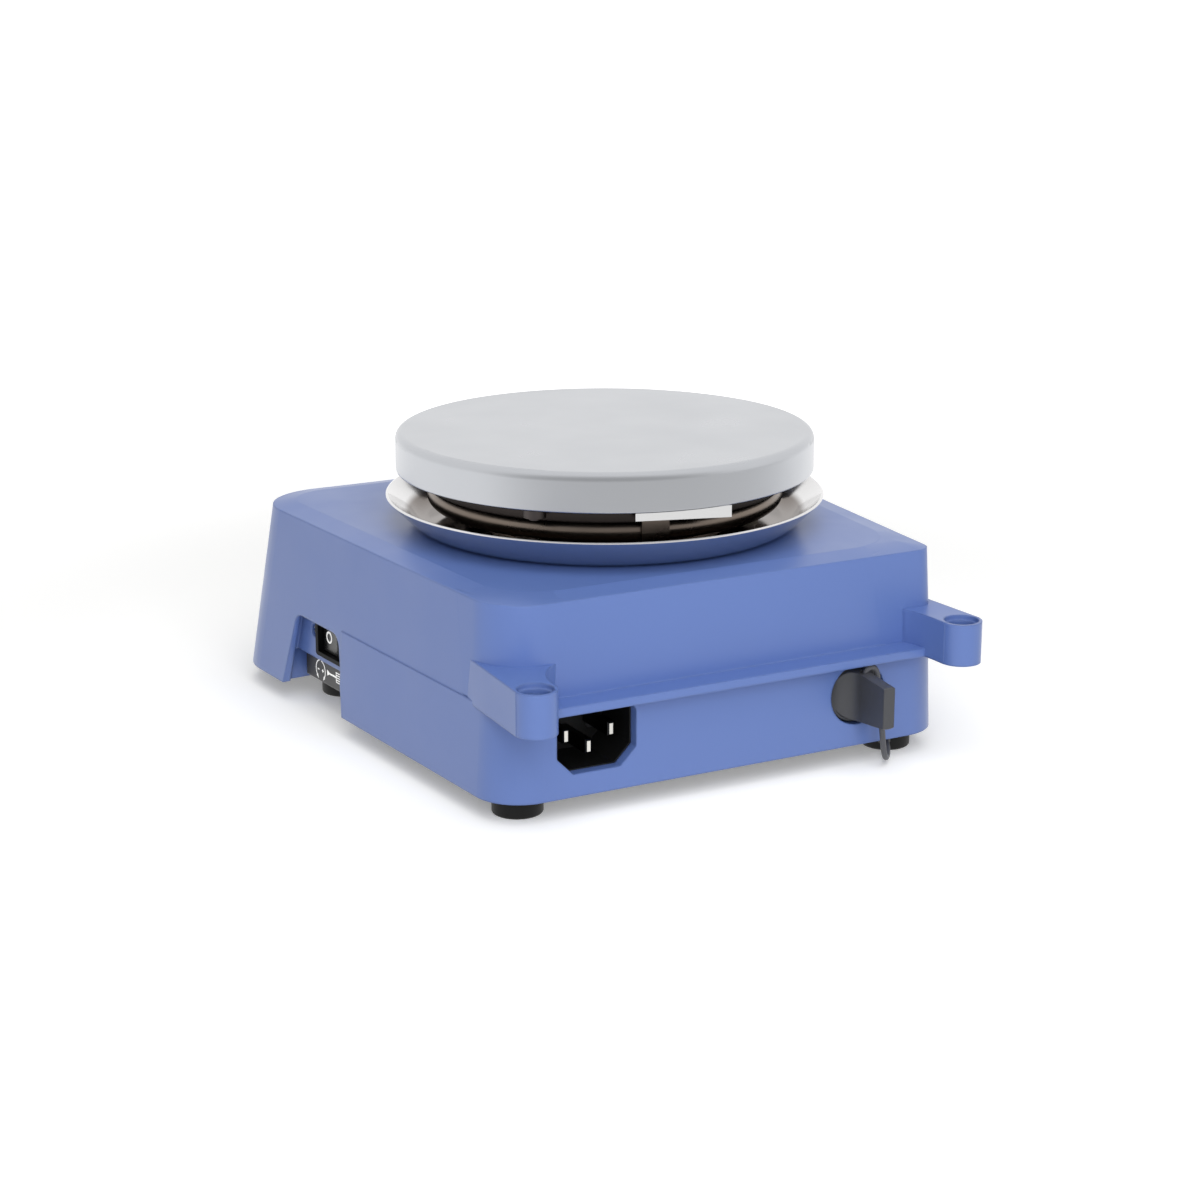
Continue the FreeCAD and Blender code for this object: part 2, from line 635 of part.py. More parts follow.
def inside(body):
    """Hollow the housing, then put back the screw pillars and the shelf for the drive."""
    low, high = housing_bottom, deck_z - D.wall
    rear_high, front_high = rear_at(shoulder_z), front_at(shoulder_z)
    first = plan(body, low, D.wall, rear_at(low), front_at(low),
                 D.corner_rear_low, D.corner_front_low)
    last = plan(body, high, D.wall, rear_high, front_high, D.corner_rear_high, D.corner_front_high)
    loft(body, "SubtractiveLoft", [first, last])
    sections = []
    for z in (low, D.skirt_top + D.skirt_roof_rise):
        y_rear = D.skirt_rear_y - D.skirt_wall
        corners = []
        for sign, y in ((1, D.skirt_front_y + 12), (1, y_rear), (-1, y_rear), (-1, D.skirt_front_y + 12)):
            corners.append(((half_width(y, z) - D.wall) * sign, y))
        radius = D.corner_rear_low - D.wall
        sections.append(outline(new_sketch(body, "XY_Plane", z), corners, [0, radius, radius, 0]))
    loft(body, "SubtractiveLoft", sections)
    pillars = new_sketch(body, "XY_Plane", D.foot_height + D.base_thickness)
    for x, y in foot_places():
        ring(pillars, D.pillar_radius, x, y)
        ring(pillars, D.foot_screw_radius + 0.1, x, y)
    pad(body, pillars, D.pillar_top - D.foot_height - D.base_thickness)
    ribs = new_sketch(body, "XY_Plane", D.foot_height + D.base_thickness + 2)
    start, half = D.foot_screw_radius + 1, D.rib_thickness / 2
    rear_end = D.skirt_rear_y - D.skirt_wall / 2
    casing_end = D.side_half - D.side_taper * D.foot_front_y - D.niche_low_depth - D.wall / 2
    for sign in (1, -1):
        x, y = D.foot_x * sign, D.foot_rear_y
        wall_x = half_width(y, D.pillar_top) - D.wall / 2
        outline(ribs, sorted_box(x + start * sign, wall_x * sign, y - half, y + half))
        outline(ribs, sorted_box(x - half, x + half, y + start, rear_end))
        y = D.foot_front_y
        end = casing_end if sign == 1 else half_width(y, D.pillar_top) - D.wall / 2
        outline(ribs, sorted_box(x + start * sign, end * sign, y - half, y + half))
    pad(body, ribs, D.pillar_top - D.foot_height - D.base_thickness - 2)
    bosses = new_sketch(body, "XY_Plane", bracket_top)
    for x, y in boss_places():
        ring(bosses, D.boss_radius, x, y)
        ring(bosses, D.motor_screw + 0.1, x, y)
    pad(body, bosses, deck_z - D.wall / 2 - bracket_top)


def sorted_box(x_one, x_two, y_low, y_high):
    low, high = sorted((as_size(x_one), as_size(x_two)), key=float)
    return [(low, y_low), (high, y_low), (high, y_high), (low, y_high)]


def foot_places():
    return [(D.foot_x, D.foot_rear_y), (-D.foot_x, D.foot_rear_y),
            (D.foot_x, D.foot_front_y), (-D.foot_x, D.foot_front_y)]


def niche(body):
    """Switch niche in the +X side, open below: its casing first, then its hollow."""
    low = housing_bottom
    shell = D.niche_grow + D.wall
    front, rear = D.niche_front_low - shell, D.niche_rear_low + shell
    casing = side_sketch(body, D.niche_depth + 2.2)
    outline(casing, [(front, low), (rear, low), (rear, D.niche_top_z + shell),
                     (front, D.niche_top_z + shell)])
    pad(body, casing, D.niche_depth + 0.6)
    lower = side_sketch(body, D.niche_low_depth + D.wall)
    outline(lower, [(front, low), (rear, low), (rear, D.niche_step_z + 2.2),
                    (front, D.niche_step_z + 2.2)])
    pad(body, lower, D.niche_low_depth - D.niche_depth + 2)
    mouth = side_sketch(body, D.niche_depth)
    outline(mouth, [(D.niche_front_low, low - 1), (D.niche_rear_low, low - 1),
                    (D.niche_rear_high, D.niche_top_z), (D.niche_front_high, D.niche_top_z)],
            [0, 0, D.niche_round, D.niche_round])
    pocket(body, mouth, D.niche_depth + 8, reverse=True)
    hollow = side_sketch(body, D.niche_depth)
    grow, top = D.niche_grow, D.niche_top_z + D.niche_grow
    outline(hollow, [(D.niche_front_low - grow, low - 1), (D.niche_rear_low + grow, low - 1),
                     (D.niche_rear_low + grow, top), (D.niche_front_high - grow, top)],
            [0, 0, 1, D.niche_round])
    pocket(body, hollow, D.niche_depth - D.niche_lip - 1.2, reverse=True)
    deep = side_sketch(body, D.niche_low_depth)
    outline(deep, [(D.niche_front_low - D.niche_grow, low - 1), (D.niche_rear_low + D.niche_grow, low - 1),
                   (D.niche_rear_low + D.niche_grow, D.niche_step_z),
                   (D.niche_front_low - D.niche_grow, D.niche_step_z)])
    pocket(body, deep, D.niche_low_depth - D.niche_depth + 1, reverse=True)
    cutout = side_sketch(body, D.niche_depth + 3)
    reach = D.switch_half - 0.6
    tall = D.switch_tall - 0.3
    outline(cutout, [(D.switch_s - reach, D.switch_z - tall), (D.switch_s + reach, D.switch_z - tall),
                     (D.switch_s + reach, D.switch_z + tall), (D.switch_s - reach, D.switch_z + tall)])
    pocket(body, cutout, 4, reverse=True)
    hole = side_sketch(body, D.niche_depth + 3)
    ring(hole, D.adjuster_hole, D.adjuster_s, D.adjuster_z)
    pocket(body, hole, 4, reverse=True)


def inlet_corners(grow=0):
    """The mouth of the mains inlet: two lower corners cut off, two upper ones rounded."""
    left, right = D.inlet_x - D.inlet_width / 2 - grow, D.inlet_x + D.inlet_width / 2 + grow
    low, high = D.inlet_z - D.inlet_height / 2 - grow, D.inlet_z + D.inlet_height / 2 + grow
    corners = [(left, low + D.inlet_cut), (left + D.inlet_cut, low), (right - D.inlet_cut, low),
               (right, low + D.inlet_cut), (right, high), (left, high)]
    return corners, [1, 1, 1, 1, D.inlet_round, D.inlet_round]


def openings(body):
    """Rod holes, drive hole, socket holes and the holes of the controls."""
    holes = new_sketch(body, "XY_Plane", D.ear_top)
    mouths = new_sketch(body, "XY_Plane", D.ear_top)
    for sign in (1, -1):
        ring(holes, D.rod_bore, D.ear_x * sign, D.ear_y)
        ring(mouths, D.rod_mouth, D.ear_x * sign, D.ear_y)
    pocket(body, holes, D.ear_top - D.skirt_top + 1)
    pocket(body, mouths, D.rod_mouth_depth)
    drive = new_sketch(body, "XY_Plane", deck_z)
    ring(drive, D.deck_hole)
    for x, y in post_places():
        ring(drive, D.post_screw + 0.2, x, y)
    for x, y in heater_legs():
        ring(drive, D.heater_entry, x, y)
    pocket(body, drive, D.wall + 1)
    rear = new_sketch(body, "XZ_Plane", -D.skirt_rear_y - 1)
    corners, radii = inlet_corners()
    outline(rear, corners, radii)
    ring(rear, D.socket_hole, D.socket_x, D.socket_z)
    pocket(body, rear, D.skirt_wall + 2, reverse=True)
    front = front_sketch(body)
    for sign in (1, -1):
        ring(front, D.bush_radius + D.bush_gap, D.knob_x * sign)
        ring(front, D.lens_radius + 0.05, D.lens_x * sign, D.lens_up)
    pocket(body, front, D.wall + 2)


def ring_place(radius, angle):
    turn = math.radians(angle)
    return radius * math.cos(turn), radius * math.sin(turn)


def post_places():
    return [ring_place(post_ring, angle) for angle in (30, 150, 270)]


def boss_places():
    return [ring_place(D.bracket_reach, angle) for angle in (90, 210, 330)]


def heater_legs():
    """Where the heater's two cold ends go down, from the middle of the gap in its ring."""
    swing = math.asin((D.heater_gap_half.value + D.heater_bend.value) / heater_ring.value)
    y = -heater_ring.value * math.cos(swing) - D.heater_bend.value * math.sin(swing)
    x = heater_ring.value * math.sin(swing) - D.heater_bend.value * math.cos(swing)
    return [(x, y), (-x, y)]


# Base plate, feet and their screws

def base_plate():
    body = new_body("BasePlate")
    inset = D.wall + D.base_gap
    rear = D.skirt_rear_y - D.skirt_wall - D.base_gap
    z = housing_bottom
    upper = z + D.base_thickness
    front = front_at(upper) + inset
    corners = []
    for sign, y in ((1, front), (1, rear), (-1, rear), (-1, front)):
        corners.append(((half_width(y, upper) - inset) * sign, y))
    radii = [D.corner_front_low - inset, D.corner_rear_low - inset]
    sheet = outline(new_sketch(body, "XY_Plane", z), corners, radii + radii[::-1])
    pad(body, sheet, D.base_thickness)
    notch = new_sketch(body, "XY_Plane", z + D.base_thickness)
    shell = D.niche_grow + D.wall + D.base_gap
    depth = D.niche_low_depth + D.wall + D.base_gap
    corners = []
    for deep, along in ((depth, D.niche_front_low - shell), (-8, D.niche_front_low - shell),
                        (-8, D.niche_rear_low + shell), (depth, D.niche_rear_low + shell)):
        point = in_side_frame(deep, along, 0)
        corners.append((point.x, point.y))
    outline(notch, corners)
    for x, y in foot_places():
        ring(notch, D.foot_screw_radius + 0.1, x, y)
    pocket(body, notch, D.base_thickness + 1)
    slots = new_sketch(body, "XY_Plane", z + D.base_thickness)
    for row in range(7):
        x = -27 + 9 * row
        outline(slots, [(x - 1.5, 18), (x + 1.5, 18), (x + 1.5, 44), (x - 1.5, 44)], [1.4] * 4)
    pocket(body, slots, D.base_thickness + 1)
    anchor = ring(new_sketch(body, "XY_Plane", z), D.anchor_radius, D.anchor_x, D.anchor_y)
    pad(body, anchor, D.anchor_height, reverse=True)
    place(body)
    return keep(body, "base_plate")


def feet():
    hole = D.foot_screw_radius + 0.1
    head = D.foot_screw_head + 0.4
    for name, (x, y) in zip(("rear_right", "rear_left", "front_right", "front_left"), foot_places()):
        section = [(hole, D.foot_recess), (head, D.foot_recess), (head, 0), (D.foot_radius, 0),
                   (D.foot_radius, D.foot_height), (hole, D.foot_height)]
        turned(f"foot_{name}", section, [0, 0, 0, 0.8, 0, 0], x, y)
    screws = []
    for x, y in foot_places():
        part = screw(D.foot_screw_radius, D.foot_screw_head, D.foot_screw_length, 1.7)
        screws.append(at(part, x, y, D.foot_recess, Rotation(Vector(1, 0, 0), 180)))
    set_of("foot_screws", screws)


# Hot plate, its posts and the heater

plate_bottom = D.plate_top - D.plate_thickness
shoe_outer = D.shoe_inner + D.shoe_width
heater_ring = D.shoe_inner + D.shoe_width / 2
post_ring = D.shoe_inner - D.post_inset
heater_z = plate_bottom - D.shoe_depth + D.heater_seat - D.heater_tube
heater_low_z = deck_z - D.heater_tail
bowl_rim_z = deck_z + D.bowl_rise
cover_top = plate_bottom - D.cover_gap


def hot_plate():
    body = new_body("HotPlate")
    shoe_z = plate_bottom - D.shoe_depth
    section = [(0, plate_bottom), (D.shoe_inner, plate_bottom), (D.shoe_inner, shoe_z),
               (shoe_outer, shoe_z), (shoe_outer, plate_bottom), (D.plate_radius, plate_bottom),
               (D.plate_radius, D.plate_top), (0, D.plate_top)]
    revolve(body, outline(new_sketch(body, "XZ_Plane"), section, [0, 0, 0, 0, 0, 0.5, D.plate_edge, 0]))
    groove(body, ring(new_sketch(body, "XZ_Plane"), D.heater_tube + 0.05, heater_ring, heater_z))
    holes = new_sketch(body, "XY_Plane", plate_bottom)
    for x, y in post_places():
        ring(holes, D.post_screw + 0.1, x, y)
    pocket(body, holes, D.post_screw_grip + 1, reverse=True)
    place(body)
    return keep(body, "hot_plate")


def posts():
    floor = deck_z + D.bowl_sheet
    bore = D.post_screw + 0.2
    length = plate_bottom - floor - D.washer_thickness * 2
    tubes, washers, screws = [], [], []
    for x, y in post_places():
        tube = minus(round_bar(D.post_radius, length), round_bar(bore, length + 2, -1))
        tubes.append(at(tube, x, y, floor + D.washer_thickness))
        for z in (floor, plate_bottom - D.washer_thickness):
            disc = round_bar(D.washer_radius, D.washer_thickness)
            washer = minus(disc, round_bar(bore, D.washer_thickness + 2, -1))
            washers.append(at(washer, x, y, z))
        shank = plate_bottom + D.post_screw_grip - deck_z + D.wall
        part = screw(D.post_screw, 3.4, shank, 2.2)
        screws.append(at(part, x, y, deck_z - D.wall, Rotation(Vector(1, 0, 0), 180)))
    set_of("plate_posts", tubes)
    set_of("insulating_washers", washers)
    set_of("plate_screws", screws)


def heater():
    """A tubular heater bent to an open ring; both cold ends turn down through the bowl."""
    swing = math.asin((D.heater_gap_half.value + D.heater_bend.value) / heater_ring.value)
    radius, bend, z = heater_ring.value, D.heater_bend.value, heater_z.value
    ends, edges = [], []
    for sign, (leg_x, leg_y) in zip((1, -1), heater_legs()):
        ring_end = Vector(sign * radius * math.sin(swing), -radius * math.cos(swing), z)
        leg_top = Vector(leg_x, leg_y, z - bend)
        middle = (ring_end + leg_top) / 2
        centre = ring_end - UP * bend
        middle = centre + (middle - centre).normalize() * bend
        ends.append((ring_end, middle, leg_top, Vector(leg_x, leg_y, heater_low_z.value)))
    first, second = ends
    edges.append(Part.LineSegment(first[3], first[2]).toShape())
    edges.append(Part.Arc(first[2], first[1], first[0]).toShape())
    edges.append(Part.Arc(first[0], Vector(0, radius, z), second[0]).toShape())
    edges.append(Part.Arc(second[0], second[1], second[2]).toShape())
    edges.append(Part.LineSegment(second[2], second[3]).toShape())
    tube = swept(edges, D.heater_tube.value)
    thing = doc.addObject("Part::Feature", "Heater")
    thing.Shape = tube
    place(thing)
    return keep(thing, "heater_tube")


def swept(edges, radius):
    """A round tube along edges that meet tangent to each other."""
    path = Part.Wire(edges)
    start = path.Edges[0].valueAt(path.Edges[0].FirstParameter)
    direction = path.Edges[0].tangentAt(path.Edges[0].FirstParameter)
    section = Part.Wire(Part.makeCircle(radius, start, direction))
    return path.makePipeShell([section], True, True)


def clamps():
    """Sheet saddles that hold the heater tube in its groove."""
    rise = plate_bottom - heater_z
    inner = shoe_outer - heater_ring + D.clamp_gap
    outer = inner + D.clamp_sheet
    saddles = []
    for angle in (77, 197, 317):
        body = new_body("Saddle")
        section = [(-outer, rise), (-outer, -outer), (outer, -outer), (outer, rise),
                   (inner, rise), (inner, -inner), (-inner, -inner), (-inner, rise)]
        radii = [0, outer - 0.1, outer - 0.1, 0, 0, inner - 0.1, inner - 0.1, 0]
        pad(body, outline(new_sketch(body, "XZ_Plane"), section, radii), 8, both=True)
        x, y = ring_place(heater_ring, angle)
        saddles.append(at(body, x, y, heater_z, Rotation(UP, angle)))
    set_of("heater_clamps", saddles)


def under_plate():
    """Angle strip, temperature sensor, thermal cut-out and earth screw under the hot plate."""
    body = new_body("AngleStrip")
    near, far = shoe_outer + D.strip_gap, shoe_outer + D.strip_gap + D.strip_width
    drop, sheet = D.strip_drop, D.clamp_sheet
    section = [(near, plate_bottom), (far, plate_bottom), (far, plate_bottom - drop),
               (far - sheet, plate_bottom - drop), (far - sheet, plate_bottom - sheet),
               (near, plate_bottom - sheet)]
    strip = outline(new_sketch(body, "XZ_Plane", D.strip_start), section)
    pad(body, strip, D.strip_length, reverse=True)
    place(body, rotation=Rotation(UP, 73))
    keep(body, "angle_strip")
    probe = round_bar(1.5, 14, -7)
    x, y = ring_place(D.shoe_inner - D.sensor_inset, 330)
    lying = Rotation(UP, 330).multiply(Rotation(Vector(1, 0, 0), 90))
    place(probe, x, y, plate_bottom - 1.55, lying)
    keep(probe, "temperature_sensor")
    x, y = ring_place(D.shoe_inner - D.cutout_inset, 210)
    cutout = fused(round_bar(5.2, 4.5, 2), round_bar(4.2, 2))
    place(cutout, x, y, plate_bottom - 6.5)
    keep(cutout, "thermal_cutout")
    x, y = ring_place((shoe_outer + D.plate_radius) / 2, 42)
    stud = fused(round_bar(3.3, 2.4, 0.8), round_bar(1.6, 3.4))
    place(stud, x, y, plate_bottom - 3.4)
    keep(stud, "earth_screw")


def drip_bowl():
    body = new_body("DripBowl")
    low, sheet = deck_z, D.bowl_sheet
    section = [(D.bowl_hole, low), (D.bowl_base, low), (D.bowl_rim, bowl_rim_z - 0.4),
               (D.bowl_rim - sheet * 0.9, bowl_rim_z), (D.bowl_base - 0.4, low + sheet),
               (D.bowl_hole, low + sheet)]
    revolve(body, outline(new_sketch(body, "XZ_Plane"), section, [0, 9, 0.2, 0.2, 8.2, 0]))
    holes = new_sketch(body, "XY_Plane", low + sheet + 6)
    for x, y in post_places():
        ring(holes, D.post_screw + 0.2, x, y)
    for x, y in heater_legs():
        ring(holes, D.heater_entry, x, y)
    pocket(body, holes, sheet + 7)
    place(body)
    return keep(body, "drip_bowl")


def magnet_cover():
    low, sheet, top = deck_z + D.bowl_sheet, D.cover_sheet, cover_top
    section = [(0, top - sheet), (D.cover_radius - sheet, top - sheet), (D.cover_radius - sheet, low),
               (D.cover_flange, low), (D.cover_flange, low + sheet), (D.cover_radius, low + sheet),
               (D.cover_radius, top), (0, top)]
    turned("magnet_cover", section, [0, 2.2, 0, 0, 0, 0.6, 3, 0])


# Motor, its bracket, and the magnet drive that it turns

motor_high = bracket_top - D.bracket_thickness
motor_low = motor_high - D.motor_length
shaft_low = motor_low - D.shaft_tail
shaft_high = deck_z + D.shaft_rise
yoke_z = deck_z + D.yoke_rise


def motor():
    body = new_body("MotorBracket")
    low = bracket_top - D.bracket_thickness
    plate = ring(new_sketch(body, "XY_Plane", low), D.motor_radius + 2)
    pad(body, plate, D.bracket_thickness)
    for x, y in boss_places():
        angle = math.degrees(math.atan2(y.value, x.value))
        arm = new_sketch(body, "XY_Plane", low, Rotation(UP, angle))
        reach = D.bracket_reach + 5
        outline(arm, [(10, -5), (reach, -5), (reach, 5), (10, 5)], [0, 4, 4, 0])
        pad(body, arm, D.bracket_thickness)
    holes = ring(new_sketch(body, "XY_Plane", bracket_top), D.bearing_radius + 1.6)
    for x, y in boss_places():
        ring(holes, D.motor_screw + 0.1, x, y)
    pocket(body, holes, D.bracket_thickness + 1)
    place(body)
    keep(body, "motor_bracket")

    sheet, radius, pocket_r = D.motor_sheet, D.motor_radius, D.bearing_radius
    low, high, width = motor_low, motor_high, D.bearing_width
    section = [(pocket_r, low), (radius, low), (radius, high), (pocket_r, high),
               (pocket_r, high - width), (pocket_r + sheet, high - width),
               (pocket_r + sheet, high - sheet), (radius - sheet, high - sheet),
               (radius - sheet, low + sheet), (pocket_r + sheet, low + sheet),
               (pocket_r + sheet, low + width), (pocket_r, low + width)]
    turned("motor_case", section, [0, 2, 2, 0, 0, 0, 0, 0.8, 0.8, 0, 0, 0])
    middle = (low + high) / 2
    bore = D.rotor_radius + D.rotor_gap
    outer = radius - sheet
    turned("motor_stator", [(bore, middle - D.stator_height / 2), (outer, middle - D.stator_height / 2),
                            (outer, middle + D.stator_height / 2), (bore, middle + D.stator_height / 2)])
    bearings = []
    for z in (low, high - width):
        disc = round_bar(pocket_r, width)
        bearings.append(at(minus(disc, round_bar(D.shaft_radius + D.shaft_play, width + 2, -1)), 0, 0, z))
    set_of("motor_bearings", bearings)
    screws = []
    for x, y in boss_places():
        part = screw(D.motor_screw, 2.8, 7.5, 2)
        screws.append(at(part, x, y, bracket_top - D.bracket_thickness, Rotation(Vector(1, 0, 0), 180)))
    set_of("motor_screws", screws)


def drive():
    """Everything that turns: shaft, rotor, yoke and the two magnets."""
    shaft = round_bar(D.shaft_radius, shaft_high - shaft_low)
    place(shaft, 0, 0, shaft_low)
    keep(shaft, "motor_shaft")
    middle = (motor_low + motor_high) / 2
    turned("motor_rotor", [(D.shaft_radius, middle - D.stator_height / 2),
                           (D.rotor_radius, middle - D.stator_height / 2),
                           (D.rotor_radius, middle + D.stator_height / 2),
                           (D.shaft_radius, middle + D.stator_height / 2)], [0, 0.6, 0.6, 0])
    body = new_body("MagnetYoke")
    half, side = D.yoke_length / 2, D.yoke_width / 2
    corners = [(-half, -side), (half, -side), (half, side), (-half, side)]
    pad(body, outline(new_sketch(body, "XY_Plane", yoke_z), corners, [6, 6, 6, 6]), D.yoke_thickness)
    pad(body, ring(new_sketch(body, "XY_Plane", yoke_z - 5), D.shaft_radius + 3.5), 5.5)
    pocket(body, ring(new_sketch(body, "XY_Plane", yoke_z + D.yoke_thickness), D.shaft_radius), 12)
    place(body)
    keep(body, "magnet_yoke")
    for name, sign in (("north", 1), ("south", -1)):
        magnet = round_bar(D.magnet_radius, D.magnet_height)
        place(magnet, D.magnet_offset * sign, 0, yoke_z + D.yoke_thickness)
        keep(magnet, f"drive_magnet_{name}")


# Mains inlet and thermometer socket behind the rear wall

wall_face = D.skirt_rear_y - D.skirt_wall


def mains_inlet():
    """Inlet insert: a flange behind the wall, a barrel, and three flat pins in its cavity."""
    body = new_body("MainsInlet")
    half_x = D.inlet_width / 2 + D.inlet_flange
    low = D.inlet_z - D.inlet_height / 2 - D.inlet_flange
    high = D.inlet_z + D.inlet_height / 2 + D.flange_top
    flange = outline(new_sketch(body, "XZ_Plane", -wall_face),
                     [(D.inlet_x - half_x, low), (D.inlet_x + half_x, low),
                      (D.inlet_x + half_x, high), (D.inlet_x - half_x, high)], [2, 2, 2, 2])
    pad(body, flange, 3)
    corners, radii = inlet_corners(D.inlet_wall)
    barrel = outline(new_sketch(body, "XZ_Plane", -wall_face + 1), corners, radii)
    pad(body, barrel, D.inlet_depth + 1.5)
    corners, radii = inlet_corners(-0.3)
    cavity = outline(new_sketch(body, "XZ_Plane", -wall_face), corners, radii)
    pocket(body, cavity, D.inlet_depth, reverse=True)
    slots = new_sketch(body, "XZ_Plane", -wall_face + D.inlet_depth - 1)
    for x, z in pin_places():
        outline(slots, pin_section(x, z, 0))
    pocket(body, slots, 5, reverse=True)
    place(body)
    keep(body, "mains_inlet")
    pins = []
    for x, z in pin_places():
        pin = new_body("Pin")
        tip = D.inlet_depth - D.pin_length - wall_face
        sections = [outline(new_sketch(pin, "XZ_Plane", tip), pin_section(x, z, D.pin_tip)),
                    outline(new_sketch(pin, "XZ_Plane", tip + D.pin_tip), pin_section(x, z, 0)),
                    outline(new_sketch(pin, "XZ_Plane", tip + D.pin_length + 9), pin_section(x, z, 0))]
        loft(pin, "AdditiveLoft", sections)
        pins.append(pin)
    set_of("inlet_pins", pins)


def pin_places():
    mid = D.inlet_z + 0.6
    return [(D.inlet_x + D.pin_spacing / 2, mid), (D.inlet_x - D.pin_spacing / 2, mid),
            (D.inlet_x, mid - D.earth_drop)]


def pin_section(x, z, less):
    half_x, half_z = D.pin_thick / 2 - less, D.pin_tall / 2 - less
    return [(x - half_x, z - half_z), (x + half_x, z - half_z),
            (x + half_x, z + half_z), (x - half_x, z + half_z)]


def contact_places():
    return [ring_place(D.contact_ring, angle) for angle in (90, 210, 330)]


def thermometer_socket():
    body = new_body("ThermometerSocket")
    side, up = D.socket_flange, D.skirt_top - D.socket_z
    flange = outline(new_sketch(body, "XY_Plane", 0),
                     [(-side, -up), (side, -up), (side, side), (-side, side)], [3, 3, 3, 3])
    pad(body, flange, 3, reverse=True)
    pad(body, ring(new_sketch(body, "XY_Plane", 0), D.socket_hole - 0.4), D.socket_depth, reverse=True)
    holes = new_sketch(body, "XY_Plane", 0)
    for x, y in contact_places():
        ring(holes, D.contact_bore + D.contact_wall, x, y)
    pocket(body, holes, D.socket_depth + 1)
    place(body, D.socket_x, wall_face, D.socket_z, REAR_FACING)
    keep(body, "thermometer_socket")
    contacts = []
    for x, y in contact_places():
        outer = D.contact_bore + D.contact_wall
        sleeve = minus(round_bar(outer, D.socket_depth + 4, -D.socket_depth - 4),
                       round_bar(D.contact_bore, D.plug_pin_length + 3, -D.plug_pin_length - 2))
        contacts.append(at(sleeve, x, y, 0))
    group = doc.addObject("Part::Compound", "Contacts")
    group.Links = contacts
    place(group, D.socket_x, wall_face, D.socket_z, REAR_FACING)
    keep(group, "socket_contacts")


def dummy_plug():
    """Blanking plug: a round foot that sweeps in a hollow curve into a flat upright grip."""
    body = new_body("DummyPlug")
    end = D.plug_end_y - wall_face
    foot = D.plug_gap + D.plug_foot
    revolve(body, outline(new_sketch(body, "XZ_Plane"),
                          [(0, D.plug_gap), (D.plug_radius, D.plug_gap), (D.plug_radius, foot),
                           (D.plug_cone, foot), (D.plug_end_half, end), (0, end)], [0, 0, 0.3, 0, 0.4, 0]))
    for sign in (1, -1):
        side = outline(new_sketch(body, "XZ_Plane"),
                       [(D.plug_grip_half * sign, foot), (sign * 12, foot),
                        (sign * 12, end + 1), (D.plug_grip_half * sign, end + 1)],
                       [D.plug_flare, 0, 0, 0])
        pocket(body, side, 20, both=True)
    bore = new_sketch(body, "XZ_Plane", D.plug_cone + 1)
    ring(bore, D.tether_radius + 0.4, 0, TETHER_Y - wall_face)
    pocket(body, bore, D.plug_cone + 1 - (TETHER_LOW - D.tether_end_gap - D.socket_z))
    place(body, D.socket_x, wall_face, D.socket_z, REAR_FACING)
    keep(body, "dummy_plug")
    pins = []
    for x, y in contact_places():
        pins.append(at(round_bar(D.plug_pin, D.plug_pin_length + D.plug_gap, -D.plug_pin_length), x, y, 0))
    group = doc.addObject("Part::Compound", "PlugPins")
    group.Links = pins
    place(group, D.socket_x, wall_face, D.socket_z, REAR_FACING)
    keep(group, "plug_pins")


# The plug's tether, a limp cord from the plug's grip to the base plate
TETHER_Y = D.skirt_rear_y + 2.8
TETHER_LOW = 26.7


def tether_route():
    """Corner points of the tether, y counted from the plate's axis."""
    x, y = D.socket_x.value, TETHER_Y.value
    return [(x - 0.2, y, 26.7), (x - 0.2, y, 30.6), (x - 4.0, y + 0.2, 30.6), (x - 4.7, y + 0.5, 25.5),
            (x - 4.9, y + 1.6, 18.5), (x - 5.3, y + 2.4, 11.0), (x - 6.3, y + 2.2, 4.2),
            (x - 8.4, y + 0.4, 1.9), (x - 11.0, y - 2.6, 2.6), (x - 12.7, y - 5.6, 4.0),
            (D.anchor_x.value, D.anchor_y.value, 4.8)]


def plug_tether():
    points = [Vector(*point) for point in tether_route()]
    edges, here, radii = [], points[0], []
    for before, corner, after in zip(points, points[1:], points[2:]):
        back, ahead = (before - corner), (after - corner)
        turn = math.pi - back.getAngle(ahead)
        reach = 0.45 * min(back.Length, ahead.Length)
        radius = reach / math.tan(turn / 2)
        towards = (back.normalize() + ahead.normalize()).normalize()
        start, end = corner + back * reach, corner + ahead * reach
        middle = corner + towards * (radius / math.cos(turn / 2) - radius)
        edges += [Part.LineSegment(here, start).toShape(), Part.Arc(start, middle, end).toShape()]
        here = end
        radii.append(round(radius, 2))
    edges.append(Part.LineSegment(here, points[-1]).toShape())
    tube = swept(edges, D.tether_radius.value)
    length = sum(edge.Length for edge in edges)
    section = math.pi * D.tether_radius.value ** 2
    print("tether: length", round(length, 1), "radii", radii,
          "volume / (section x length)", round(tube.Volume / (section * length), 4))
    thing = doc.addObject("Part::Feature", "Tether")
    thing.Shape = tube
    place(thing)
    return keep(thing, "plug_tether")


# Switch niche: rocker switch, legend plate and limit adjuster

SIDE_FRAME = Rotation(ALONG, UP, OUTWARD, "XYZ")


def place_in_side(thing, depth, along, z, turn=None):
    """Place a piece whose x runs along the side wall, y upwards and z outwards."""
    spot = in_side_frame(depth, along, z)
    rotation = SIDE_FRAME.multiply(turn) if turn else SIDE_FRAME
    place(thing, spot.x, spot.y, spot.z, rotation)


def rectangle(half_x, half_y):
    return [(-half_x, -half_y), (half_x, -half_y), (half_x, half_y), (-half_x, half_y)]


